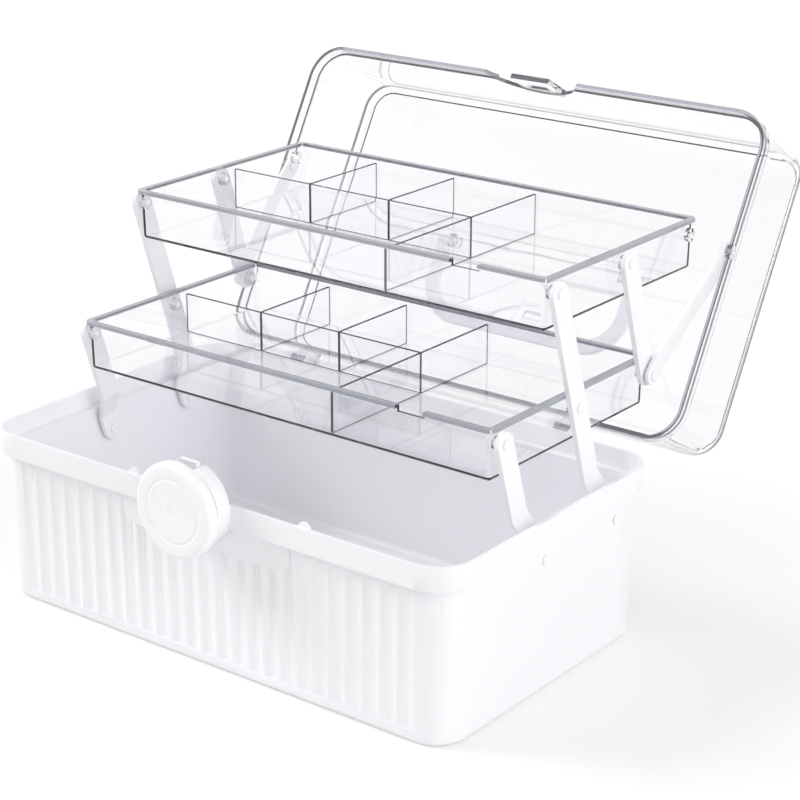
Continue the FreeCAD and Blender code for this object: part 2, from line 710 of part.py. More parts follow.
def cut_arch(body):
    """Cut the arched notch over the button, and hang the catch tongue in it."""
    half, rise = size("arch_width") / 2, size("arch_rise")
    radius = (half * half + rise * rise) / (rise * 2)
    arch = new_sketch(body, "arch", "XZ_Plane", size("rim_depth") / 2)
    draw_circle(arch, 0, lid_low + rise - radius, radius)
    pocket(body, arch, size("skirt_step") + size("lid_draft") + size("lid_wall") * 2)
    tongue = new_sketch(body, "tongue", "XZ_Plane", size("rim_depth") / 2)
    half = size("tongue_width") / 2
    draw_box(tongue, -half, lid_low, half, lid_low + rise + size("lid_wall"))
    pad(body, tongue, size("tongue_thick"), reverse=True)
    window = new_sketch(body, "window", "XZ_Plane", size("rim_depth") / 2)
    half = size("window_width") / 2
    low = size("hook_pivot") + size("nose_low") - size("window_room")
    draw_box(window, -half, low, half, low + size("window_height"))
    pocket(body, window, size("tongue_thick"))


def link_seat(body, side):
    """A boss inside the lid's side wall for the link's pin."""
    name = "right" if side > 0 else "left"
    seat = new_sketch(body, name + "_seat", "YZ_Plane", seat_face * side)
    draw_circle(seat, link_seat_y, link_seat_z, size("seat_radius"))
    pad(body, seat, size("seat_reach") + size("lid_wall") / 2, reverse=side < 0)


def make_handle():
    """A bail that lies back on the lid's top, with an eye at each end."""
    body = new_body("handle")
    outer, strap = size("handle_width") / 2, size("strap_width")
    near, far = size("handle_place"), size("handle_place") + size("handle_drop")
    middle_z = lid_top + size("handle_rise")
    sketch = new_sketch(body, "outline", "XY_Plane", middle_z)
    draw_polygon(sketch, ((outer, near), (outer, far), (-outer, far), (-outer, near),
                          (strap - outer, near), (strap - outer, far - strap),
                          (outer - strap, far - strap), (outer - strap, near)))
    pad(body, sketch, size("strap_thick"), midplane=True)

    def corner(x, y):
        def chosen(edge):
            box, place = edge.BoundBox, middle_of(edge)
            return (box.XLength < 0.001 and box.YLength < 0.001
                    and abs(abs(place.x) - x.number) < 0.001 and abs(place.y - y.number) < 0.001)
        return chosen

    round_edges(body, "outer_corners", size("handle_radius"), corner(outer, far))
    round_edges(body, "inner_corners", size("handle_radius") - strap,
                corner(outer - strap, far - strap))
    for side in (-1, 1):
        eye = new_sketch(body, "eye_right" if side > 0 else "eye_left", "YZ_Plane",
                         (outer - strap / 2) * side)
        draw_circle(eye, near, middle_z, size("eye_radius"))
        pad(body, eye, strap, midplane=True)
    holes = new_sketch(body, "holes", "YZ_Plane")
    draw_circle(holes, near, middle_z, size("pin_radius") + size("pin_fit"))
    pocket(body, holes, midplane=True)
    open_with_lid(body)
    return keep(body)


# Arms, links and rivets

def make_strip(name, side, outline, width, holes, y, z, angle):
    """A flat cranked strip: its outline seen edge on, its pivot holes, and where it stands."""
    body = new_body(name)
    edge_view = new_sketch(body, "edge", "XY_Plane")
    draw_polygon(edge_view, [(as_size(x) * side, along) for x, along in outline])
    pad(body, edge_view, width, midplane=True)
    along_all = [as_size(along).number for x, along in outline]
    ends = (min(along_all), max(along_all))

    def end_corner(edge):
        box, place = edge.BoundBox, middle_of(edge)
        return (box.YLength < 0.001 and box.ZLength < 0.001
                and min(abs(place.y - end) for end in ends) < 0.001)

    round_edges(body, "ends", (width - size("end_flat")) / 2, end_corner)
    drilled = new_sketch(body, "holes", "YZ_Plane")
    for along, radius in holes:
        draw_circle(drilled, along, 0, radius)
    pocket(body, drilled, midplane=True)
    body.Placement = FreeCAD.Placement(FreeCAD.Vector(0, 0, 0),
                                       FreeCAD.Rotation(FreeCAD.Vector(1, 0, 0), angle.number))
    bind(body, "Placement.Rotation.Angle", angle)
    bind(body, "Placement.Base.y", y)
    bind(body, "Placement.Base.z", z)
    return keep(body)


def cranked(foot, face, thick, width, length, start, stop):
    """Edge view of a strip that steps from one layer at its foot to another further along."""
    half = width / 2
    return ((foot, -half), (foot + thick, -half), (foot + thick, start), (face + thick, stop),
            (face + thick, length + half), (face, length + half), (face, stop), (foot, start))


def straight(face, thick, width, length):
    half = width / 2
    return ((face, -half), (face + thick, -half), (face + thick, length + half),
            (face, length + half))


def make_arms():
    width, thick, reach = size("arm_width"), size("arm_thick"), size("arm_reach")
    bore = size("rivet_radius") + size("pin_fit")
    angle = size("arm_angle")
    for side, name in ((-1, "left"), (1, "right")):
        front = cranked(foot_face, arm_face, thick, width, reach, size("crank_start"),
                        size("crank_stop"))
        make_strip("front_arm_" + name, side, front, width, ((as_size(0), bore), (reach, bore)),
                   size("pivot_front"), size("pivot_height"), angle)
        main = cranked(foot_face, arm_face, thick, width, reach * 2, size("crank_start"),
                       size("crank_stop"))
        make_strip("main_arm_" + name, side, main, width,
                   ((as_size(0), bore), (reach, bore), (reach * 2, bore)),
                   pivot_rear, size("pivot_height"), angle)
        rear = straight(arm_face, thick, width, reach)
        make_strip("rear_arm_" + name, side, rear, width, ((as_size(0), bore), (reach, bore)),
                   lower_pivot_y + size("pivot_spacing") * 2, lower_pivot_z, angle)


def make_links():
    """The links from the lower tray's rear pivots to the lid."""
    tray_y, tray_z = lower_pivot_y + size("pivot_spacing") * 2, lower_pivot_z
    seat_y, seat_z = turned_y(link_seat_y, link_seat_z), turned_z(link_seat_y, link_seat_z)
    run, climb = seat_y - tray_y, seat_z - tray_z
    length = root(run * run + climb * climb)
    degrees = math.degrees(math.atan2(climb.number, run.number))
    angle = Size("atan2(%s; %s)" % (climb.text, run.text), degrees)
    thick, width = size("link_thick"), size("link_width")
    lid_face = seat_face - size("arm_gap") - thick
    view = cranked(link_face, lid_face, thick, width, length, width, length - width)
    bore = size("pin_radius") + size("pin_fit")
    for side, name in ((-1, "left"), (1, "right")):
        make_strip("lid_link_" + name, side, view, width,
                   ((as_size(0), size("rivet_radius")), (length, bore)), tray_y, tray_z, angle)
    rivets("link_tray_studs", ((link_face, thick, size("rivet_radius")),
                               (link_face + thick, size("head_thick"), size("head_radius"))),
           tray_y, tray_z)
    shank = seat_face - size("arm_gap") - thick - size("head_thick")
    rivets("lid_link_pins", ((shank, size("rim_length") / 2 - shank, size("pin_radius")),
                             (shank, size("head_thick"), size("seat_radius"))),
           link_seat_y, link_seat_z, on_lid=True)


def rivets(name, steps, y, z, on_lid=False):
    """A left and a right rivet, each turned from steps of start, length and radius."""
    bars = []
    for side in (-1, 1):
        for index, (start, length, radius) in enumerate(steps):
            tag = "%s_%s_%d" % (name, "right" if side > 0 else "left", index)
            bars.append(cylinder(tag, start, y, z, radius, length, side))
    group = fuse(name, bars)
    if on_lid:
        open_with_lid(group)
    return keep(group)


def make_rivets():
    shank, head = size("rivet_radius"), size("head_radius")
    cap = size("head_thick")
    outer = tub_outside - foot_face + size("pin_fit")
    for name, y in (("base_front_pins", size("pivot_front")), ("base_rear_pins", pivot_rear)):
        rivets(name, ((foot_face, outer, shank), (foot_face + outer, cap, head),
                      (foot_face - cap, cap, head)), y, size("pivot_height"))
    inside = size("tray_length") / 2 - size("tray_flange") - size("tray_wall") - size("tray_draft")
    through = arm_face + size("arm_thick") - inside
    steps = ((inside, through, shank), (inside + through, cap, head))
    spacing = size("pivot_spacing")
    rivets("lower_front_pins", steps, lower_pivot_y, lower_pivot_z)
    rivets("lower_mid_pins", steps, lower_pivot_y + spacing, lower_pivot_z)
    rivets("lower_rear_pins", steps, lower_pivot_y + spacing * 2, lower_pivot_z)
    rivets("upper_front_pins", steps, upper_pivot_y, upper_pivot_z)
    rivets("upper_mid_pins", steps, upper_pivot_y + spacing, upper_pivot_z)


def make_hinge_pins():
    """One pin through each rear hinge."""
    width = size("knuckle_width") + size("hinge_gap") * 2 + size("lug_width") * 2
    bars = []
    for side in (-1, 1):
        tag = "hinge_pin_right" if side > 0 else "hinge_pin_left"
        bars.append(cylinder(tag, size("hinge_spread") - width / 2, hinge_y, hinge_z,
                             size("pin_radius"), width, side))
    return keep(fuse("hinge_pins", bars))


def make_handle_pins():
    start = ear_middle() - size("ear_width") / 2
    length = size("handle_width") / 2 - start
    return rivets("handle_pins", ((start, length, size("pin_radius")),),
                  size("handle_place"), lid_top + size("handle_rise"), on_lid=True)


# Trays

def make_tray(name, pivot_y, pivot_z):
    """A clear tray: its local origin is the middle of its rim."""
    body = new_body(name)
    flange, wall, draft = size("tray_flange"), size("tray_wall"), size("tray_draft")
    height, radius = size("tray_height"), size("tray_radius") - size("tray_flange")
    length, depth = size("tray_length") - flange * 2, size("tray_depth") - flange * 2
    block = round_box_sketch(body, "block", length, depth, radius, 0)
    lean_in(pad(body, block, height, reverse=True), draft, height)
    round_edges(body, "foot_round", size("tray_edge"), level_edges(-height))
    brim = round_box_sketch(body, "flange", size("tray_length"), size("tray_depth"),
                            size("tray_radius"), 0)
    pad(body, brim, size("flange_thick"), reverse=True)
    front = size("front_inset") - size("tray_depth") / 2
    places = [front + size("pivot_spacing") * index for index in range(3)]
    bosses = new_sketch(body, "bosses", "YZ_Plane")
    for place in places:
        draw_circle(bosses, place, -size("pivot_drop"), size("boss_radius"))
    pad(body, bosses, boss_face * 2, midplane=True)
    hollow = round_box_sketch(body, "hollow", length - wall * 2, depth - wall * 2,
                              radius - wall / 2, 0)
    deep = height - size("tray_floor")
    lean_in(pocket(body, hollow, deep), draft * deep / height, deep)
    notch = new_sketch(body, "notch", "XZ_Plane", size("tray_depth") / 2)
    left = size("notch_place") - size("notch_width") / 2
    draw_box(notch, left, -size("notch_depth"), left + size("notch_width"), size("notch_depth"))
    pocket(body, notch, flange + wall * 2)
    holes = new_sketch(body, "holes", "YZ_Plane")
    for place in places:
        draw_circle(holes, place, -size("pivot_drop"), size("rivet_radius"))
    pocket(body, holes, midplane=True)
    bind(body, "Placement.Base.y", pivot_y - front)
    bind(body, "Placement.Base.z", pivot_z + size("pivot_drop"))
    return keep(body)


def make_dividers(name, pivot_y, pivot_z):
    """The four clear plates that part one tray."""
    wall, thick, gap = size("tray_wall"), size("divider_thick"), size("divider_gap")
    half_length = size("tray_length") / 2 - size("tray_flange") - wall - size("tray_draft") - gap
    half_depth = size("tray_depth") / 2 - size("tray_flange") - wall - size("tray_draft") - gap
    middle_y = pivot_y + size("tray_depth") / 2 - size("front_inset")
    low = pivot_z + size("pivot_drop") - size("tray_height") + size("tray_floor")
    tall = size("tray_height") - size("tray_floor") - size("divider_drop")
    cross = [size("column_pitch") * index - half_length - gap for index in (1, 2, 3)]
    long_y = middle_y + size("divider_back")
    keep(plate(name + "_full_divider", cross[2] - thick / 2, middle_y - half_depth, low,
               thick, half_depth * 2, tall))
    keep(plate(name + "_long_divider", -half_length, long_y - thick / 2, low,
               cross[2] - thick / 2 + half_length, thick, tall))
    shorts = []
    for index in (0, 1):
        shorts.append(plate("%s_short_divider_%d" % (name, index + 1), cross[index] - thick / 2,
                            long_y + thick / 2, low, thick,
                            middle_y + half_depth - long_y - thick / 2, tall))
    keep(fuse(name + "_short_dividers", shorts))


# The latch

hook_face = band_front - size("back_thick") - size("hook_room") - size("hook_thick")
collar_front = band_front - size("collar_reach")
button_back = collar_front - size("press_travel") - size("press_spare")
button_front = button_back - size("button_thick")


def disc_sketch(body, name, face, *rings):
    """Circles about the button's middle, on a plane that faces front."""
    sketch = new_sketch(body, name, "XZ_Plane", -face)
    for ring in rings:
        draw_circle(sketch, 0, size("button_height"), ring)
    return sketch


def make_housing():
    """The collar: it stands on the latch plate and the rim band and guides the button."""
    body = new_body("latch_housing")
    outer, inner = size("collar_radius"), size("collar_radius") - size("collar_wall")
    pad(body, disc_sketch(body, "collar", plate_face, outer), plate_face - collar_front)
    well = disc_sketch(body, "well", collar_front, inner)
    pocket(body, well, size("collar_reach") - size("back_thick"))
    over_band = new_sketch(body, "over_band", "XZ_Plane", -band_front)
    draw_box(over_band, -outer * 2, shoulder, outer * 2, size("button_height") + outer * 2)
    pocket(body, over_band, plate_face - band_front)
    over_rim = new_sketch(body, "over_rim", "XZ_Plane", size("seat_gap") - band_front)
    draw_box(over_rim, -outer * 2, size("base_height"), outer * 2,
             size("button_height") + outer * 2)
    pocket(body, over_rim, size("seat_gap"))
    slot = new_sketch(body, "slot", "XZ_Plane", -collar_front)
    half = size("slot_width") / 2
    draw_box(slot, -half, size("hook_pivot") - size("hook_down") - size("hook_room"), half,
             size("button_height") + outer * 2)
    pocket(body, slot)
    cheeks = new_sketch(body, "cheeks", "XZ_Plane", size("back_thick") - band_front)
    for side in (-1, 1):
        near, far = half * side, (half + size("cheek_thick")) * side
        draw_box(cheeks, near, size("hook_pivot") - size("cheek_tall"), far,
                 size("hook_pivot") + size("cheek_tall"))
    pad(body, cheeks, size("cheek_reach"))
    pin_line = new_sketch(body, "pin_line", "YZ_Plane")
    draw_circle(pin_line, hook_face + size("hook_thick") / 2, size("hook_pivot"),
                size("hook_pin_radius"))
    pocket(body, pin_line, (half + size("cheek_thick")) * 2, midplane=True)
    pegs = new_sketch(body, "pegs", "XZ_Plane", -band_front)
    for side in (-1, 1):
        draw_circle(pegs, size("peg_spread") * side, size("peg_height"), size("peg_radius"))
    pad(body, pegs, size("band_wall"), reverse=True)
    return keep(body)


def make_button():
    body = new_body("latch_button")
    outer = size("button_radius")
    pad(body, disc_sketch(body, "face", button_back, outer), size("button_thick"))
    round_edges(body, "edge", size("button_edge"), upright_edges(button_front))
    ring = disc_sketch(body, "ring", button_front, size("ring_radius") + size("ring_width") / 2,
                       size("ring_radius") - size("ring_width") / 2)
    pocket(body, ring, size("mark_depth"))
    dimple = disc_sketch(body, "dimple", button_front, size("dimple_radius"))
    pocket(body, dimple, size("mark_depth"))
    guide = size("collar_radius") - size("collar_wall") - size("arm_gap")
    skirt = disc_sketch(body, "skirt", button_back, guide, guide - size("skirt_wall"))
    deep = collar_front + size("skirt_overlap") - button_back
    pad(body, skirt, deep, reverse=True)
    room = new_sketch(body, "hook_room", "XZ_Plane", -button_back)
    half = size("slot_width") / 2
    draw_box(room, -half, size("button_height") - outer, half, size("button_height") + outer)
    pocket(body, room, deep)
    stem = new_sketch(body, "stem", "XZ_Plane", -button_back)
    draw_circle(stem, 0, size("hook_pivot") - size("stem_drop"), size("stem_radius"))
    stem_end = hook_face - size("stem_gap")
    pad(body, stem, stem_end - button_back, reverse=True)
    round_edges(body, "stem_end", size("stem_round"), upright_edges(stem_end))
    return keep(body)


def make_hook():
    """A rocker: pressing its foot draws the nose at its head forwards."""
    body = new_body("latch_hook")
    back, pivot = hook_face + size("hook_thick"), size("hook_pivot")
    nose = band_front - size("nose_gap")
    sketch = new_sketch(body, "profile", "YZ_Plane")
    draw_polygon(sketch, ((hook_face, pivot - size("hook_down")), (back, pivot - size("hook_down")),
                          (back, pivot + size("nose_low")), (nose, pivot + size("nose_low")),
                          (nose, pivot + size("nose_high") - size("nose_slope")),
                          (back, pivot + size("nose_high")),
                          (back, pivot + size("hook_up")), (hook_face, pivot + size("hook_up"))))
    pad(body, sketch, size("hook_width"), midplane=True)
    bore = new_sketch(body, "bore", "YZ_Plane")
    draw_circle(bore, hook_face + size("hook_thick") / 2, pivot,
                size("hook_pin_radius") + size("pin_fit"))
    pocket(body, bore, midplane=True)
    keep(body)
    half = size("slot_width") / 2 + size("cheek_thick")
    pin = cylinder("latch_hook_pin", -half, hook_face + size("hook_thick") / 2, pivot,
                   size("hook_pin_radius"), half * 2, 1)
    pin.Label = "latch_hook_pin"
    keep(pin)


def make_springs():
    """Two small coil springs between the collar's back plate and the button."""
    seat = band_front - size("back_thick")
    wire, turns = size("wire_radius"), size("spring_turns")
    length = seat - button_back - wire * 2
    coils = []
    for side, name in ((-1, "left"), (1, "right")):
        helix = doc.addObject("Part::Helix", "spring_line_" + name)
        bind(helix, "Pitch", length / turns)
        bind(helix, "Height", length)
        bind(helix, "Radius", size("spring_radius"))
        ring = doc.addObject("Part::Circle", "spring_wire_" + name)
        ring.Placement = FreeCAD.Placement(FreeCAD.Vector(0, 0, 0),
                                           FreeCAD.Rotation(FreeCAD.Vector(1, 0, 0), 90))
        bind(ring, "Radius", wire)
        bind(ring, "Placement.Base.x", size("spring_radius"))
        coil = doc.addObject("Part::Sweep", "spring_coil_" + name)
        coil.Sections = [ring]
        coil.Spine = (helix, ["Edge1"])
        coil.Solid = True
        coil.Frenet = True
        coil.Placement = FreeCAD.Placement(FreeCAD.Vector(0, 0, 0),
                                           FreeCAD.Rotation(FreeCAD.Vector(1, 0, 0), 90))
        bind(coil, "Placement.Base.x", size("spring_spread") * side)
        bind(coil, "Placement.Base.y", seat - wire)
        bind(coil, "Placement.Base.z", size("button_height"))
        coils.append(coil)
    return keep(fuse("latch_springs", coils))


def write_all():
    """Stop on anything that failed, then write one file for each piece."""
    doc.recompute()
    for item in doc.Objects:
        if "Invalid" in item.State or "Error" in item.State:
            raise RuntimeError("%s is %s" % (item.Name, item.State))
    for piece in nodes:
        if piece.Shape.isNull() or not piece.Shape.isValid():
            raise RuntimeError(piece.Label + " has no valid shape")
    os.makedirs("parts", exist_ok=True)
    for piece in nodes:
        piece.Shape.exportStep("parts/%s.step" % piece.Label)
        print("%-24s solids %d  volume %.0f" % (piece.Label, len(piece.Shape.Solids),
                                                piece.Shape.Volume))


make_tub()
make_housing()
make_button()
make_hook()
make_springs()
make_hinge_pins()
make_lid()
make_handle()
make_handle_pins()
make_arms()
make_links()
make_rivets()
for tray, tray_pivot_y, tray_pivot_z in (("lower", lower_pivot_y, lower_pivot_z),
                                         ("upper", upper_pivot_y, upper_pivot_z)):
    make_tray(tray + "_tray", tray_pivot_y, tray_pivot_z)
    make_dividers(tray, tray_pivot_y, tray_pivot_z)
write_all()
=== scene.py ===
import json
import math

import bmesh
import bpy
from mathutils import Matrix, Vector


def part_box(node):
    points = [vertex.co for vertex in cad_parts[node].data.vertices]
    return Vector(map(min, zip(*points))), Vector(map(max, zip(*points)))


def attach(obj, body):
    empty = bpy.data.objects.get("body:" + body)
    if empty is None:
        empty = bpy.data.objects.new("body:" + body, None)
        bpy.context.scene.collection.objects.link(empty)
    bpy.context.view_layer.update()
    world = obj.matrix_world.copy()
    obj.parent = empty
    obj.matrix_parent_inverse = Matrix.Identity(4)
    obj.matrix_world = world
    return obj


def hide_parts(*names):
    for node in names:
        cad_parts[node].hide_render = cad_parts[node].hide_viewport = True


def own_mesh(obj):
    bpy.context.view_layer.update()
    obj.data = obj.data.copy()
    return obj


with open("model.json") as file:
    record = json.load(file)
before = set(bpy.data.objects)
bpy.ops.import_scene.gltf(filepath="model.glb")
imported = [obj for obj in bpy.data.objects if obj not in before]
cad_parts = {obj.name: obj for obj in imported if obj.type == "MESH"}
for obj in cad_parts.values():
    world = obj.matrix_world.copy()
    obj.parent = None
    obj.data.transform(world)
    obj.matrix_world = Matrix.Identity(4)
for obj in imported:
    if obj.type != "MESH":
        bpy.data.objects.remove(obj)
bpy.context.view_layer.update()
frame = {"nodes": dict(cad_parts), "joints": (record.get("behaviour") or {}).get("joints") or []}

bl_info = {
    "name": "Sewing box with trays",
    "version": (1, 0, 0),
    "blender": (4, 5, 0),
    "location": "View3D > Sidebar > Sewing box",
    "description": "Dresses the packed sewing box: moulded white tub, clear lid and trays, press latch",
    "category": "Object",
}

MM = 0.001

# The pieces that share a finish
TRAY_NODES = ("lower_tray", "upper_tray")
DIVIDER_NODES = (
    "lower_full_divider", "lower_long_divider", "lower_short_dividers",
    "upper_full_divider", "upper_long_divider", "upper_short_dividers",
)
ARM_NODES = (
    "front_arm_left", "front_arm_right", "main_arm_left", "main_arm_right",
    "rear_arm_left", "rear_arm_right", "lid_link_left", "lid_link_right", "handle",
)
RIVET_NODES = (
    "base_front_pins", "base_rear_pins", "lower_front_pins", "lower_mid_pins", "lower_rear_pins",
    "upper_front_pins", "upper_mid_pins", "link_tray_studs", "lid_link_pins", "handle_pins",
)
LATCH_NODES = ("latch_housing", "latch_hook")
STEEL_NODES = ("hinge_pins", "latch_hook_pin")


class BoxSizes(bpy.types.PropertyGroup):
    """Sizes that a user would change."""
    edge_round: bpy.props.FloatProperty(
        name="Edge rounding", description="Rounding of the moulded edges",
        default=0.5 * MM, min=0, subtype="DISTANCE", unit="LENGTH")
    clear_round: bpy.props.FloatProperty(
        name="Clear edge rounding", description="Rounding of the clear pieces' edges",
        default=0.35 * MM, min=0, subtype="DISTANCE", unit="LENGTH")
    small_round: bpy.props.FloatProperty(
        name="Small edge rounding", description="Rounding of the latch pieces",
        default=0.3 * MM, min=0, subtype="DISTANCE", unit="LENGTH")
    head_round: bpy.props.FloatProperty(
        name="Rivet head rounding", description="Rounding that makes the rivets' heads low domes",
        default=0.8 * MM, min=0, subtype="DISTANCE", unit="LENGTH")
    # the dark line is painted shade, drawn where the lid's sheet turns
    line_width: bpy.props.FloatProperty(
        name="Edge line", description="Width of the dark line where the clear lid turns to its walls",
        default=0.9 * MM, min=0, subtype="DISTANCE", unit="LENGTH")
    button_edge: bpy.props.FloatProperty(
        name="Button edge", description="Rounding of the press button's front edge",
        default=3.4 * MM, min=0, subtype="DISTANCE", unit="LENGTH")
    ring_radius: bpy.props.FloatProperty(
        name="Button ring", description="Radius of the ring on the press button",
        default=17.5 * MM, min=0, subtype="DISTANCE", unit="LENGTH")
    ring_depth: bpy.props.FloatProperty(
        name="Ring depth", description="Depth of the ring and of the middle dimple",
        default=0.35 * MM, min=0, subtype="DISTANCE", unit="LENGTH")
    dimple_radius: bpy.props.FloatProperty(
        name="Dimple", description="Radius of the dimple in the middle of the press button",
        default=3.3 * MM, min=0, subtype="DISTANCE", unit="LENGTH")


class BoxColours(bpy.types.PropertyGroup):
    """Colours that a user would change, as sRGB hex values."""
    body: bpy.props.StringProperty(
        name="Body", description="Moulded polypropylene of the tub and arms", default="#F5F5F8")
    latch: bpy.props.StringProperty(
        name="Latch", description="Glossy plastic of the press button", default="#F7F7F9")
    clear: bpy.props.StringProperty(
        name="Clear", description="Tint of the clear polystyrene", default="#FEFEFF")
    clear_deep: bpy.props.StringProperty(
        name="Clear, deep", description="Blue grey of light that runs a long way in clear plastic",
        default="#8C93A8")
    clear_shade: bpy.props.StringProperty(
        name="Clear, shade", description="What one clear face leaves of the light that passes it",
        default="#FBFBFC")
    # painted shade: the dark slate on the clear corners stands in for light that the corners bend away
    painted_corner_shade: bpy.props.StringProperty(
        name="Clear edge", description="Dark slate of the clear plastic's corners", default="#3F435A")
    # painted shade: the grey stands in for light bent inside the lid's thick rim
    painted_rim_shade: bpy.props.StringProperty(
        name="Clear rim", description="Grey of the lid's thick rim, seen along the sheet",
        default="#C9CBD6")
    # painted shade: the grey stands in for light bent inside the trays' flange
    painted_flange_shade: bpy.props.StringProperty(
        name="Clear flange", description="Pale grey of the trays' flange, seen along the sheet",
        default="#CFD1DB")
    steel: bpy.props.StringProperty(
        name="Steel", description="Drawn steel wire and pins", default="#A9ABAE")
    floor: bpy.props.StringProperty(
        name="Floor", description="Studio paper, as it lights the box", default="#E6E6E6")
    floor_seen: bpy.props.StringProperty(
        name="Floor seen", description="Studio paper, as the camera sees its shadows",
        default="#C8C8C8")


def sizes():
    """The sizes that the scene holds."""
    return bpy.context.scene.sewing_box_sizes


def colours():
    """The colours that the scene holds."""
    return bpy.context.scene.sewing_box_colours


def joint(name):
    """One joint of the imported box."""
    return next(item for item in frame["joints"] if item["name"] == name)


def linear(colour):
    """Turn an sRGB hex value into a linear colour."""
    channels = [int(colour[i:i + 2], 16) / 255 for i in (1, 3, 5)]
    return [c / 12.92 if c <= 0.04045 else ((c + 0.055) / 1.055) ** 2.4 for c in channels] + [1.0]


def add_node(tree, kind, links=None, **settings):
    """Add one node with its settings and input links."""
    node = tree.nodes.new(kind)
    for name, value in settings.items():
        if name.startswith("in_"):
            node.inputs[name[3:].replace("_", " ")].default_value = value
        else:
            setattr(node, name, value)
    for name, socket in (links or {}).items():
        tree.links.new(socket, node.inputs[name])
    return node


def new_material(name):
    """An empty node material and its tree."""
    material = bpy.data.materials.new(name)
    material.use_nodes = True
    material.node_tree.nodes.clear()
    return material, material.node_tree


def mix_by_ray(tree, path, surface, choices):
    """Show another shader to the rays that are named."""
    for ray, shader in choices:
        mix = add_node(tree, "ShaderNodeMixShader", {"Fac": path.outputs[ray]})
        tree.links.new(surface, mix.inputs[1])
        tree.links.new(shader, mix.inputs[2])
        surface = mix.outputs["Shader"]
    return surface


# Opaque plastic: depth of the mould's grain, and how its gloss drifts over a hand's width
GRAIN_DEEP = 0.05 * MM
CLOUD_MM = 45.5
CLOUD_LOW, CLOUD_HIGH = -0.04, 0.05
PLASTIC_IOR = 1.49
COAT_ROUGHNESS = 0.08


def moulded_plastic(name, colour, roughness, grain_mm, grain_depth, coat=0.0):
    """Injection-moulded opaque plastic: an even colour, soft gloss and a very fine moulded grain.

    The mould's real grain is about a tenth of a millimetre. It is drawn coarser, so that it shows.
    """
    material, tree = new_material(name)
    place = add_node(tree, "ShaderNodeTexCoord")
    grain = add_node(tree, "ShaderNodeTexNoise", {"Vector": place.outputs["Object"]},
                     in_Scale=1 / (grain_mm * MM), in_Detail=3.0, in_Roughness=0.6)
    bump = add_node(tree, "ShaderNodeBump", {"Height": grain.outputs["Fac"]},
                    in_Strength=grain_depth, in_Distance=GRAIN_DEEP)
    cloud = add_node(tree, "ShaderNodeTexNoise", {"Vector": place.outputs["Object"]},
                     in_Scale=1 / (CLOUD_MM * MM), in_Detail=2.0)
    shine = add_node(tree, "ShaderNodeMapRange", {"Value": cloud.outputs["Fac"]},
                     in_To_Min=roughness + CLOUD_LOW, in_To_Max=roughness + CLOUD_HIGH)
    shader = add_node(tree, "ShaderNodeBsdfPrincipled",
                      {"Normal": bump.outputs["Normal"], "Roughness": shine.outputs["Result"]},
                      in_IOR=PLASTIC_IOR, in_Base_Color=linear(colour),
                      in_Coat_Weight=coat, in_Coat_Roughness=COAT_ROUGHNESS)
    add_node(tree, "ShaderNodeOutputMaterial", {"Surface": shader.outputs["BSDF"]})
    return material


# Clear plastic: how fast it darkens a long way in, and the slight waves of its polished faces
CLEAR_IOR = 1.57
CLEAR_DENSITY = 7.0
WAVE_MM = 33.3
WAVE_DEEP = 1.0 * MM
WAVE_STRENGTH = 0.05


def clear_plastic(name, colour, let_through=1.0, roughness=0.01):
    """Clear moulded polystyrene: polished, a little wavy, and darker where one looks along the sheet.

    The sheet lets nearly all light through. Its corners and thick rims bend the light away, so they get
    painted
    shade: the same plastic in a darker tint and with less of it let through.
    """
    material, tree = new_material(name)
    place = add_node(tree, "ShaderNodeTexCoord")
    wave = add_node(tree, "ShaderNodeTexNoise", {"Vector": place.outputs["Object"]},
                    in_Scale=1 / (WAVE_MM * MM), in_Detail=1.0)
    bump = add_node(tree, "ShaderNodeBump", {"Height": wave.outputs["Fac"]},
                    in_Strength=WAVE_STRENGTH, in_Distance=WAVE_DEEP)
    shader = add_node(tree, "ShaderNodeBsdfPrincipled", {"Normal": bump.outputs["Normal"]},
                      in_Roughness=roughness, in_IOR=CLEAR_IOR, in_Base_Color=linear(colour),
                      in_Transmission_Weight=let_through)
    passing = add_node(tree, "ShaderNodeBsdfTransparent", in_Color=linear(colours().clear_shade))
    path = add_node(tree, "ShaderNodeLightPath")
    surface = mix_by_ray(tree, path, shader.outputs["BSDF"],
                         (("Is Diffuse Ray", passing.outputs["BSDF"]),
                          ("Is Shadow Ray", passing.outputs["BSDF"])))
    tint = add_node(tree, "ShaderNodeVolumeAbsorption", in_Density=CLEAR_DENSITY,
                    in_Color=linear(colours().clear_deep))
    add_node(tree, "ShaderNodeOutputMaterial", {"Surface": surface, "Volume": tint.outputs["Volume"]})
    return material


# Drawn steel: length and width of the fine streaks that the die leaves, and its least and most roughness
STREAK_LONG_MM = 16.7
STREAK_WIDE_MM = 0.4
STEEL_ROUGHNESS = (0.22, 0.4)


def drawn_steel(name, colour):
    """Bright drawn wire: metal with fine lengthwise streaks."""
    material, tree = new_material(name)
    place = add_node(tree, "ShaderNodeTexCoord")
    across = 1 / (STREAK_WIDE_MM * MM)
    stretch = add_node(tree, "ShaderNodeMapping", {"Vector": place.outputs["Object"]},
                       in_Scale=(1 / (STREAK_LONG_MM * MM), across, across))
    streak = add_node(tree, "ShaderNodeTexNoise", {"Vector": stretch.outputs["Vector"]},
                      in_Scale=1.0, in_Detail=2.0)
    shine = add_node(tree, "ShaderNodeMapRange", {"Value": streak.outputs["Fac"]},
                     in_To_Min=STEEL_ROUGHNESS[0], in_To_Max=STEEL_ROUGHNESS[1])
    shader = add_node(tree, "ShaderNodeBsdfPrincipled", {"Roughness": shine.outputs["Result"]},
                      in_Metallic=1.0, in_Base_Color=linear(colour))
    add_node(tree, "ShaderNodeOutputMaterial", {"Surface": shader.outputs["BSDF"]})
    return material


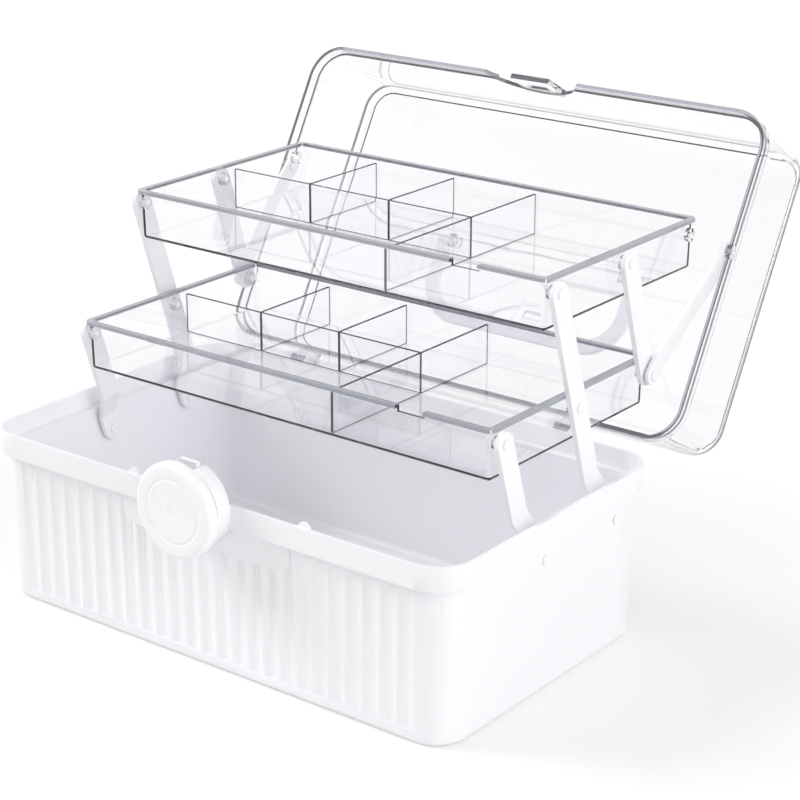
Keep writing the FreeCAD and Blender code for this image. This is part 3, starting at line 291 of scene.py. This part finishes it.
def paint(piece, *materials):
    """Give a piece these materials, in this order of slots."""
    piece.data.materials.clear()
    for material in materials:
        piece.data.materials.append(material)


# Slots of the clear pieces: the sheet itself, its corners in dark painted shade, and a rim or flange in
# paler grey painted shade
DARK_SHADE_SLOT = 1
PALE_SHADE_SLOT = 2

# Joining of the carried-over triangles, and the turns from which an edge is rounded or shows sharp
MERGE_GAP = 0.002 * MM
FLAT_TURN = math.radians(0.5)
ROUNDED_TURN = math.radians(32)
SMOOTH_TURN = math.radians(40)

# For work on new pieces: a small reach, how straight a face looks along an axis, and an axis laid on Y
NEAR = 0.1 * MM
STRAIGHT = 0.999
LYING = (math.pi / 2, 0, 0)


def dress_node(name, material, rounding, segments=2):
    """Give a carried-over node its finish, joined faces and rounded edges."""
    piece = frame["nodes"][name]
    paint(piece, material)
    weld = piece.modifiers.new("weld", "WELD")
    weld.merge_threshold = MERGE_GAP
    flat = piece.modifiers.new("flat", "DECIMATE")
    flat.decimate_type = "DISSOLVE"
    flat.angle_limit = FLAT_TURN
    bevel = piece.modifiers.new("edges", "BEVEL")
    bevel.width = rounding
    bevel.segments = segments
    bevel.limit_method = "ANGLE"
    bevel.angle_limit = ROUNDED_TURN
    bevel.harden_normals = True
    return piece


def hold(piece):
    """Select one piece alone and make it the active one."""
    bpy.ops.object.select_all(action="DESELECT")
    piece.select_set(True)
    bpy.context.view_layer.objects.active = piece


def start_on(piece):
    """Open one piece in edit mode with nothing selected."""
    hold(piece)
    bpy.ops.object.mode_set(mode="EDIT")
    bpy.ops.mesh.select_all(action="DESELECT")


def pick(piece, mode, wanted):
    """In edit mode, select the faces or edges for which wanted says yes."""
    bpy.ops.mesh.select_mode(type=mode)
    bpy.ops.mesh.select_all(action="DESELECT")
    shape = bmesh.from_edit_mesh(piece.data)
    found = shape.faces if mode == "FACE" else shape.edges
    for item in found:
        item.select_set(bool(wanted(item)))
    shape.select_flush_mode()
    bmesh.update_edit_mesh(piece.data)


def give_slot(piece, slot, wanted):
    """In edit mode, put the faces for which wanted says yes in one material slot."""
    pick(piece, "FACE", wanted)
    piece.active_material_index = slot
    bpy.ops.object.material_slot_assign()


def push(value):
    """Move what is selected."""
    bpy.ops.transform.translate(value=value)


def apply_modifiers(piece):
    """Apply all modifiers of one piece, in their order."""
    hold(piece)
    for modifier in list(piece.modifiers):
        bpy.ops.object.modifier_apply(modifier=modifier.name)


def finish_shape(piece, rounding, segments=2, angle=ROUNDED_TURN, shade_line_slot=-1):
    """Round the sharp edges, keep the large faces flat to the eye, and apply it all."""
    bpy.ops.object.mode_set(mode="OBJECT")
    bpy.ops.object.shade_smooth_by_angle(angle=SMOOTH_TURN)
    bevel = piece.modifiers.new("edges", "BEVEL")
    bevel.width = rounding
    bevel.segments = segments
    bevel.limit_method = "ANGLE"
    bevel.angle_limit = angle
    # the rounding strips go into this slot, where the clear pieces have their dark painted shade
    bevel.material = shade_line_slot
    flat = piece.modifiers.new("flat", "WEIGHTED_NORMAL")
    flat.mode = "FACE_AREA"
    flat.weight = 100
    apply_modifiers(piece)


def own_copy(node, name):
    """A merged copy of a carried-over node's mesh, ready to be worked on, that stands for the node."""
    piece = bpy.data.objects.new(name, frame["nodes"][node].data.copy())
    bpy.context.scene.collection.objects.link(piece)
    start_on(piece)
    bpy.ops.mesh.select_all(action="SELECT")
    bpy.ops.mesh.remove_doubles(threshold=MERGE_GAP)
    bpy.ops.mesh.dissolve_limited(angle_limit=FLAT_TURN)
    bpy.ops.object.mode_set(mode="OBJECT")
    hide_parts(node)
    return piece


# The lid is worked on where it stands, open. These are its places when it is shut.
HINGE = Vector(joint("lid_hinge")["pos_m"])
SHUT_TURN = Matrix.Rotation(math.radians(joint("lid_hinge")["range_deg"][1]), 3, "X")
RIM_OVER_HINGE = 2.4 * MM
SKIRT_HEIGHT = 8.0 * MM
LID_HEIGHT = 64.5 * MM
LID_LOW = HINGE.z + RIM_OVER_HINGE
SKIRT_TOP = LID_LOW + SKIRT_HEIGHT
LID_TOP = LID_LOW + LID_HEIGHT
LEDGE_ROOM = 0.5 * MM
TOP_ROUND = 7.0 * MM
TOP_ROOM = 0.05 * MM
ARCH_HALF = 33.0 * MM
ARCH_HEIGHT = 21.0 * MM
ARCH_FRONT = -80.0 * MM

# The z of a face's normal tells the lid's faces apart: 1 looks straight up and -1 straight down.
# ARCH_SIDE is how far the cut of the notch may look forward or back.
LEVEL_FACE = 0.9
ARCH_CUT = -0.2
ARCH_SIDE = 0.3
TOP_PANEL = 0.9995
PANEL_ROUND = 0.5
WALL = 0.045
WALL_ROUND = (0.05, 0.6)


def shut(point):
    """Where a point of the open lid lies when the lid is shut."""
    return HINGE + SHUT_TURN @ (point - HINGE)


def is_arch(place):
    """Whether a place on the shut lid lies at the arched notch in its front."""
    return (abs(place.x) < ARCH_HALF and place.y < ARCH_FRONT
            and LID_LOW < place.z < LID_LOW + ARCH_HEIGHT)


def is_rim_face(face):
    """The lid's rim, the ledge inside it, the step over the skirt and the cut of the arch."""
    place, normal = shut(face.calc_center_median()), SHUT_TURN @ face.normal
    if is_arch(place):
        return normal.z < ARCH_CUT and abs(normal.y) < ARCH_SIDE
    return place.z <= SKIRT_TOP + LEDGE_ROOM and abs(normal.z) > LEVEL_FACE


def is_top_border(edge):
    """The borders of the rounding between the lid's top panel and its walls, outside and inside."""
    if len(edge.link_faces) != 2:
        return False
    middle = shut((edge.verts[0].co + edge.verts[1].co) / 2)
    if not LID_TOP - TOP_ROUND < middle.z < LID_TOP + TOP_ROOM:
        return False
    low, high = sorted((SHUT_TURN @ face.normal).z for face in edge.link_faces)
    panel_side = high > TOP_PANEL and PANEL_ROUND < low < TOP_PANEL
    wall_side = 0 < low < WALL and WALL_ROUND[0] < high < WALL_ROUND[1]
    inner_side = 0 < -high < WALL and WALL_ROUND[0] < -low < WALL_ROUND[1]
    return panel_side or wall_side or inner_side


def clear_lid(sheet, edge, rim):
    """The clear lid: thin panel and walls, thick rim in grey painted shade, and lines of dark painted
    shade where the sheet turns.
    """
    lid = own_copy("lid_shell", "clear_lid")
    paint(lid, sheet, edge, rim)
    start_on(lid)
    # the rim gets the grey painted shade
    give_slot(lid, PALE_SHADE_SLOT, is_rim_face)
    # narrow strips along the top's borders get the dark painted shade
    pick(lid, "EDGE", is_top_border)
    bpy.ops.mesh.bevel(offset=sizes().line_width / 2, segments=1, affect="EDGES", material=DARK_SHADE_SLOT)
    finish_shape(lid, sizes().clear_round, shade_line_slot=DARK_SHADE_SLOT)
    return lid


# The trays' flange, and how far under it the corners keep the dark painted shade
FLANGE_THICK = 2.0 * MM
FLANGE_WIDE = 1.2 * MM
DARK_CORNERS = 14.0 * MM


def clear_tray(name, sheet, edge, flange):
    """One clear tray: clear walls and floor, and a flange in grey painted shade that draws a line all
    round.
    """
    low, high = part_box(name)
    tray = own_copy(name, "clear_" + name)
    paint(tray, sheet, edge, flange)

    def on_outline(place):
        return any(min(place[i] - low[i], high[i] - place[i]) < FLANGE_WIDE for i in (0, 1))

    def on_flange(face):
        place = face.calc_center_median()
        return (place.z > high[2] - FLANGE_THICK - NEAR
                and (face.normal.z > LEVEL_FACE or on_outline(place)))

    def is_low_corner(face):
        return face.material_index == DARK_SHADE_SLOT and face.calc_center_median().z < high[2] - DARK_CORNERS

    start_on(tray)
    # the flange gets the grey painted shade
    give_slot(tray, PALE_SHADE_SLOT, on_flange)
    finish_shape(tray, sizes().clear_round, shade_line_slot=DARK_SHADE_SLOT)
    # corners well under the flange get the flange's paler painted shade instead of the dark one
    start_on(tray)
    give_slot(tray, PALE_SHADE_SLOT, is_low_corner)
    bpy.ops.object.mode_set(mode="OBJECT")
    return tray


# The press button's places along the latch
SPRING_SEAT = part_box("latch_springs")[1][1]
BUTTON_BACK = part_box("latch_springs")[0][1]

# The button's face: the ring is a groove as wide at its floor as at each slanted side
BUTTON_SIDES = 96
EDGE_STEPS = 10
GROOVE_WIDTH = 2.4 * MM
GROOVE_PART = GROOVE_WIDTH / 3
DIMPLE_SIDE = 1.0 * MM
HOLLOW_STEPS = 6
BUTTON_ROUND = 0.35 * MM
BUTTON_TURN = math.radians(14)

# Behind it: the guide skirt, with half the width of its slot, and the stem
SKIRT_OUTER = 20.3 * MM
SKIRT_INNER = 17.7 * MM
SKIRT_DEEP = 4.4 * MM
SKIRT_SLOT = 6.6 * MM
STEM_SIDES = 32
STEM_RADIUS = 2.2 * MM
STEM_HEIGHT = 84.0 * MM
STEM_ROUND = 1.6 * MM
STEM_STEPS = 6
STEM_ROOT = 1.0 * MM


def button_blank(radius, front, middle):
    """A round slab with a soft front edge, left in edit mode."""
    bpy.ops.object.select_all(action="DESELECT")
    bpy.ops.mesh.primitive_circle_add(vertices=BUTTON_SIDES, radius=radius, fill_type="NGON",
                                      location=(0, BUTTON_BACK, middle), rotation=LYING)
    button = bpy.context.object
    button.name = "press_button"
    bpy.ops.object.transform_apply(location=True, rotation=True, scale=True)
    start_on(button)
    bpy.ops.mesh.select_all(action="SELECT")
    bpy.ops.mesh.extrude_region_move(TRANSFORM_OT_translate={"value": (0, front - BUTTON_BACK, 0)})
    pick(button, "EDGE", lambda edge: all(v.co.y < front + NEAR for v in edge.verts))
    bpy.ops.mesh.bevel(offset=sizes().button_edge, segments=EDGE_STEPS, affect="EDGES")
    return button


def button_face(button, radius, front):
    """The ring, a slightly hollow face inside it, and the dimple in its middle."""
    ring, depth, dimple = sizes().ring_radius, sizes().ring_depth, sizes().dimple_radius

    def is_front(face):
        return face.normal.y < -STRAIGHT and face.calc_center_median().y < front + NEAR

    pick(button, "FACE", is_front)
    bpy.ops.mesh.inset(thickness=radius - sizes().button_edge - ring - GROOVE_WIDTH / 2)
    bpy.ops.mesh.inset(thickness=GROOVE_PART)
    push((0, depth, 0))
    bpy.ops.mesh.inset(thickness=GROOVE_PART)
    bpy.ops.mesh.inset(thickness=GROOVE_PART)
    push((0, -depth, 0))
    # narrow rings, so that the hollow shades evenly
    hollow = ring - GROOVE_WIDTH / 2 - dimple - DIMPLE_SIDE / 2
    for step in range(HOLLOW_STEPS):
        bpy.ops.mesh.inset(thickness=hollow / HOLLOW_STEPS)
        push((0, depth / HOLLOW_STEPS * (1 - step / HOLLOW_STEPS), 0))
    bpy.ops.mesh.inset(thickness=DIMPLE_SIDE)
    push((0, depth, 0))
    bpy.ops.mesh.inset(thickness=dimple / 2)


def button_skirt(button, radius, middle):
    """The guide skirt behind the button, open where the hook passes."""

    def is_back(face):
        return face.normal.y > STRAIGHT

    def is_skirt(face):
        place = face.calc_center_median()
        reach = math.hypot(place.x, place.z - middle)
        on_ring = SKIRT_INNER - NEAR < reach < SKIRT_OUTER + NEAR
        clear_of_hook = all(abs(v.co.x) > SKIRT_SLOT for v in face.verts)
        return is_back(face) and on_ring and clear_of_hook

    pick(button, "FACE", is_back)
    bpy.ops.mesh.inset(thickness=radius - SKIRT_OUTER)
    bpy.ops.mesh.inset(thickness=SKIRT_OUTER - SKIRT_INNER)
    pick(button, "FACE", is_skirt)
    bpy.ops.mesh.extrude_region_move(TRANSFORM_OT_translate={"value": (0, SKIRT_DEEP, 0)})


def button_stem(end):
    """The stem that pushes the hook's foot: a round rod with a domed end."""
    root = BUTTON_BACK - STEM_ROOT
    bpy.ops.object.select_all(action="DESELECT")
    bpy.ops.mesh.primitive_cylinder_add(vertices=STEM_SIDES, radius=STEM_RADIUS, depth=end - root,
                                        location=(0, (end + root) / 2, STEM_HEIGHT), rotation=LYING)
    stem = bpy.context.object
    bpy.ops.object.transform_apply(location=True, rotation=True, scale=True)
    start_on(stem)
    pick(stem, "EDGE", lambda edge: all(v.co.y > end - NEAR for v in edge.verts))
    bpy.ops.mesh.bevel(offset=STEM_ROUND, segments=STEM_STEPS, affect="EDGES")
    bpy.ops.object.mode_set(mode="OBJECT")
    bpy.ops.object.shade_smooth_by_angle(angle=SMOOTH_TURN)
    return stem


def press_button():
    """The round press button: soft edge, sunken ring and dimple, guide skirt and stem behind."""
    low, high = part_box("latch_button")
    radius, front, middle = high[0], low[1], (low[2] + high[2]) / 2
    button = button_blank(radius, front, middle)
    button_face(button, radius, front)
    button_skirt(button, radius, middle)
    finish_shape(button, BUTTON_ROUND, 3, BUTTON_TURN)
    stem = button_stem(high[1])
    hold(button)
    stem.select_set(True)
    bpy.ops.object.join()
    return button


# The return springs
WIRE_RADIUS = 0.4 * MM
WIRE_SIDES = 12
WIRE_TURN = math.radians(50)
SPRING_RADIUS = 2.9 * MM
SPRING_SPREAD = 13.6 * MM
SPRING_TURNS = 4
STEPS_A_TURN = 28


def coil_spring(place):
    """One coil spring: a ring of wire turned round the spring's line, with closed ends."""
    bpy.ops.object.select_all(action="DESELECT")
    bpy.ops.mesh.primitive_circle_add(vertices=WIRE_SIDES, radius=WIRE_RADIUS, location=place)
    spring = bpy.context.object
    start_on(spring)
    bpy.ops.mesh.select_all(action="SELECT")
    push((SPRING_RADIUS, 0, 0))
    bpy.ops.object.mode_set(mode="OBJECT")
    coil = spring.modifiers.new("coil", "SCREW")
    coil.axis = "Y"
    coil.iterations = SPRING_TURNS
    coil.steps = STEPS_A_TURN
    coil.render_steps = STEPS_A_TURN
    coil.screw_offset = (BUTTON_BACK - SPRING_SEAT + 2 * WIRE_RADIUS) / SPRING_TURNS
    apply_modifiers(spring)
    start_on(spring)
    bpy.ops.mesh.select_all(action="SELECT")
    bpy.ops.mesh.fill_holes(sides=0)
    bpy.ops.mesh.normals_make_consistent(inside=False)
    bpy.ops.object.mode_set(mode="OBJECT")
    bpy.ops.object.transform_apply(location=True, rotation=True, scale=True)
    bpy.ops.object.shade_smooth_by_angle(angle=WIRE_TURN)
    return spring


def button_springs():
    """The two return springs behind the button: one is made, and copied to the other side."""
    low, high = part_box("latch_springs")
    left = coil_spring((-SPRING_SPREAD, SPRING_SEAT - WIRE_RADIUS, (low[2] + high[2]) / 2))
    hold(left)
    bpy.ops.object.duplicate()
    right = bpy.context.object
    push((2 * SPRING_SPREAD, 0, 0))
    bpy.ops.object.transform_apply(location=True, rotation=True, scale=True)
    hold(left)
    right.select_set(True)
    bpy.ops.object.join()
    left.name = "button_springs"
    return left


class SEWING_OT_tub(bpy.types.Operator):
    """Dress the tub"""
    bl_idname = "sewing.tub"
    bl_label = "Tub"

    def execute(self, context):
        # polypropylene from a satin mould: even white with a soft gloss
        tub = moulded_plastic("moulded_polypropylene", colours().body,
                              roughness=0.34, grain_mm=0.35, grain_depth=0.25)
        dress_node("base_tub", tub, sizes().edge_round)
        return {"FINISHED"}


class SEWING_OT_latch(bpy.types.Operator):
    """Dress the press latch"""
    bl_idname = "sewing.latch"
    bl_label = "Latch"

    def execute(self, context):
        # ABS from a polished mould: smoother and brighter than the tub
        gloss = moulded_plastic("gloss_abs", colours().latch,
                                roughness=0.28, grain_mm=0.5, grain_depth=0.08, coat=0.15)
        for name in LATCH_NODES:
            dress_node(name, gloss, sizes().small_round)
        button = press_button()
        paint(button, gloss)
        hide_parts("latch_button")
        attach(button, "latch_button")
        springs = button_springs()
        paint(springs, drawn_steel("drawn_spring_wire", colours().steel))
        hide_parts("latch_springs")
        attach(springs, "base")
        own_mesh(springs)
        return {"FINISHED"}


class SEWING_OT_arms(bpy.types.Operator):
    """Dress the arms, links, handle and rivets"""
    bl_idname = "sewing.arms"
    bl_label = "Arms"

    def execute(self, context):
        # the arms and the handle: the tub's white, a little less glossy
        arm = moulded_plastic("moulded_arm_plastic", colours().body,
                              roughness=0.38, grain_mm=0.4, grain_depth=0.2)
        for name in ARM_NODES:
            dress_node(name, arm, sizes().edge_round)
        # the rivets: the dullest of the whites
        rivet = moulded_plastic("moulded_rivet_plastic", colours().body,
                                roughness=0.42, grain_mm=0.4, grain_depth=0.2)
        for name in RIVET_NODES:
            dress_node(name, rivet, sizes().head_round, 3)
        # hinge and hook pins cut from drawn rod
        steel = drawn_steel("drawn_steel", colours().steel)
        for name in STEEL_NODES:
            paint(frame["nodes"][name], steel)
        return {"FINISHED"}


class SEWING_OT_clear(bpy.types.Operator):
    """Dress the clear lid, trays and dividers"""
    bl_idname = "sewing.clear"
    bl_label = "Clear pieces"

    def execute(self, context):
        # one plastic: as a sheet, and in painted shade at its corners (dark), in the lid's thick rim and
        # in the trays' flange (grey)
        sheet = clear_plastic("clear_polystyrene", colours().clear)
        # painted shade: the dark corners stand in for light that the corners bend away
        edge = clear_plastic("clear_corner_painted_shade", colours().painted_corner_shade,
                             let_through=0.35, roughness=0.12)
        # painted shade: the lid's rim is grey for light bent inside the thick rim
        rim = clear_plastic("clear_rim_painted_shade", colours().painted_rim_shade,
                            let_through=0.75, roughness=0.06)
        # painted shade: the trays' flange is grey for light bent inside it
        flange = clear_plastic("clear_flange_painted_shade", colours().painted_flange_shade,
                               let_through=0.5, roughness=0.08)
        for name in TRAY_NODES:
            tray = clear_tray(name, sheet, edge, flange)
            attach(tray, name)
        for name in DIVIDER_NODES:
            divider = dress_node(name, sheet, sizes().clear_round)
            # the dividers' rounded edges get the dark painted shade
            divider.data.materials.append(edge)
            divider.modifiers["edges"].material = DARK_SHADE_SLOT
        lid = clear_lid(sheet, edge, rim)
        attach(lid, "lid")
        return {"FINISHED"}


# The photograph's camera, in metres and degrees, about the middle of the tub
CAMERA_TURN = 37.54
CAMERA_RISE = 20.3
CAMERA_AWAY = 1.2273
CAMERA_RIGHT = 46.37 * MM
CAMERA_UP = 61.29 * MM
CAMERA_ROLL = 0.14
FOCAL_PIXELS = 2213.0
FRAME_PIXELS = 800.0
SENSOR_MM = 36.0
PIVOT_HEIGHT = 60.0 * MM
CLIP_NEAR = 0.01


def make_camera():
    """Set the camera where the photograph was taken from."""
    turn, rise = math.radians(CAMERA_TURN), math.radians(CAMERA_RISE)
    back = Vector((math.sin(turn) * math.cos(rise), -math.cos(turn) * math.cos(rise), math.sin(rise)))
    right = Vector((math.cos(turn), math.sin(turn), 0))
    up = back.cross(right)
    target = Vector((0, 0, PIVOT_HEIGHT)) + right * CAMERA_RIGHT + up * CAMERA_UP
    data = bpy.data.cameras.new("camera")
    data.sensor_width = SENSOR_MM
    data.lens = FOCAL_PIXELS * SENSOR_MM / FRAME_PIXELS
    data.clip_start = CLIP_NEAR
    camera = bpy.data.objects.new("camera", data)
    bpy.context.scene.collection.objects.link(camera)
    matrix = Matrix((right, up, back)).transposed().to_4x4()
    matrix = matrix @ Matrix.Rotation(math.radians(CAMERA_ROLL), 4, "Z")
    matrix.translation = target + back * CAMERA_AWAY
    camera.matrix_world = matrix
    bpy.context.scene.camera = camera


# The lamps: the way to each, how wide it looks in degrees, and its power
KEY_LAMP = ((-0.76, -0.32, 0.60), 28, 1.5)
FILL_LAMP = ((0.90, -0.10, 0.42), 50, 1.2)

# The floor: a wide disc a hair below the box, and what its own light adds
FLOOR_RADIUS = 9.0
FLOOR_SIDES = 96
FLOOR_DROP = 0.2 * MM
FLOOR_LIFT = 0.4

# The surroundings: their light, and what gloss and glass see of them, as height and level
WORLD_LIGHT = 0.66
SKY_BANDS = ((0.0, 1.0), (0.5, 1.0), (0.6, 0.4), (0.88, 0.4), (0.97, 0.95))
WHITE = (1.0, 1.0, 1.0, 1.0)


def sun_lamp(name, toward, spread, power):
    """A soft lamp so far away that it lights the whole floor evenly; toward points at the lamp."""
    data = bpy.data.lights.new(name, "SUN")
    data.energy = power
    data.angle = math.radians(spread)
    lamp = bpy.data.objects.new(name, data)
    bpy.context.scene.collection.objects.link(lamp)
    lamp.rotation_euler = Vector(toward).to_track_quat("Z", "Y").to_euler()


def studio_paper():
    """White seamless paper: it takes a faint shadow, and where nothing shades it it shows white."""
    material, tree = new_material("studio_paper")
    paper = add_node(tree, "ShaderNodeBsdfDiffuse", in_Color=linear(colours().floor))
    seen = add_node(tree, "ShaderNodeBsdfDiffuse", in_Color=linear(colours().floor_seen))
    lift = add_node(tree, "ShaderNodeEmission", in_Strength=FLOOR_LIFT)
    both = add_node(tree, "ShaderNodeAddShader")
    tree.links.new(seen.outputs["BSDF"], both.inputs[0])
    tree.links.new(lift.outputs["Emission"], both.inputs[1])
    path = add_node(tree, "ShaderNodeLightPath")
    surface = mix_by_ray(tree, path, both.outputs["Shader"],
                         (("Is Diffuse Ray", paper.outputs["BSDF"]),))
    add_node(tree, "ShaderNodeOutputMaterial", {"Surface": surface})
    return material


def studio_floor():
    """The floor under the box, which isn't part of it."""
    bpy.ops.object.select_all(action="DESELECT")
    bpy.ops.mesh.primitive_circle_add(vertices=FLOOR_SIDES, radius=FLOOR_RADIUS, fill_type="NGON",
                                      location=(0, 0, -FLOOR_DROP))
    floor = bpy.context.object
    floor.name = "floor"
    paint(floor, studio_paper())


def studio_world():
    """White surroundings with a darker ring high up, which draws the dark lines in clear edges."""
    world = bpy.data.worlds.new("studio")
    bpy.context.scene.world = world
    world.use_nodes = True
    tree = world.node_tree
    tree.nodes.clear()
    light = add_node(tree, "ShaderNodeBackground", in_Strength=WORLD_LIGHT, in_Color=WHITE)
    white = add_node(tree, "ShaderNodeBackground", in_Color=WHITE)
    place = add_node(tree, "ShaderNodeTexCoord")
    parts = add_node(tree, "ShaderNodeSeparateXYZ", {"Vector": place.outputs["Generated"]})
    bands = add_node(tree, "ShaderNodeValToRGB", {"Fac": parts.outputs["Z"]})
    ramp = bands.color_ramp
    while len(ramp.elements) < len(SKY_BANDS):
        ramp.elements.new(0.5)
    for element, (height, level) in zip(ramp.elements, SKY_BANDS):
        element.position = height
        element.color = (level, level, level, 1.0)
    mirrored = add_node(tree, "ShaderNodeBackground", {"Color": bands.outputs["Color"]})
    path = add_node(tree, "ShaderNodeLightPath")
    surface = mix_by_ray(tree, path, light.outputs["Background"],
                         (("Is Glossy Ray", mirrored.outputs["Background"]),
                          ("Is Transmission Ray", mirrored.outputs["Background"]),
                          ("Is Camera Ray", white.outputs["Background"])))
    add_node(tree, "ShaderNodeOutputWorld", {"Surface": surface})


class SEWING_OT_stage(bpy.types.Operator):
    """Make the studio floor, soft lamps, world and camera"""
    bl_idname = "sewing.stage"
    bl_label = "Stage"

    def execute(self, context):
        studio_floor()
        studio_world()
        sun_lamp("key", *KEY_LAMP)
        sun_lamp("fill", *FILL_LAMP)
        make_camera()
        context.scene.view_settings.view_transform = "Standard"
        return {"FINISHED"}


class SEWING_PT_panel(bpy.types.Panel):
    """Lists the box's pieces"""
    bl_idname = "SEWING_PT_panel"
    bl_label = "Sewing box"
    bl_space_type = "VIEW_3D"
    bl_region_type = "UI"
    bl_category = "Sewing box"

    def draw(self, context):
        for operator in OPERATORS:
            self.layout.operator(operator.bl_idname)


OPERATORS = (SEWING_OT_tub, SEWING_OT_latch, SEWING_OT_arms, SEWING_OT_clear, SEWING_OT_stage)
CLASSES = (BoxSizes, BoxColours) + OPERATORS + (SEWING_PT_panel,)


def register():
    """Add the classes and the scene's settings."""
    for item in CLASSES:
        bpy.utils.register_class(item)
    bpy.types.Scene.sewing_box_sizes = bpy.props.PointerProperty(type=BoxSizes)
    bpy.types.Scene.sewing_box_colours = bpy.props.PointerProperty(type=BoxColours)


def unregister():
    """Take them away again."""
    del bpy.types.Scene.sewing_box_sizes
    del bpy.types.Scene.sewing_box_colours
    for item in reversed(CLASSES):
        bpy.utils.unregister_class(item)


def main():
    """Make the scene."""
    register()
    bpy.ops.sewing.tub()
    bpy.ops.sewing.latch()
    bpy.ops.sewing.arms()
    bpy.ops.sewing.clear()
    bpy.ops.sewing.stage()


if __name__ == "__main__":
    main()
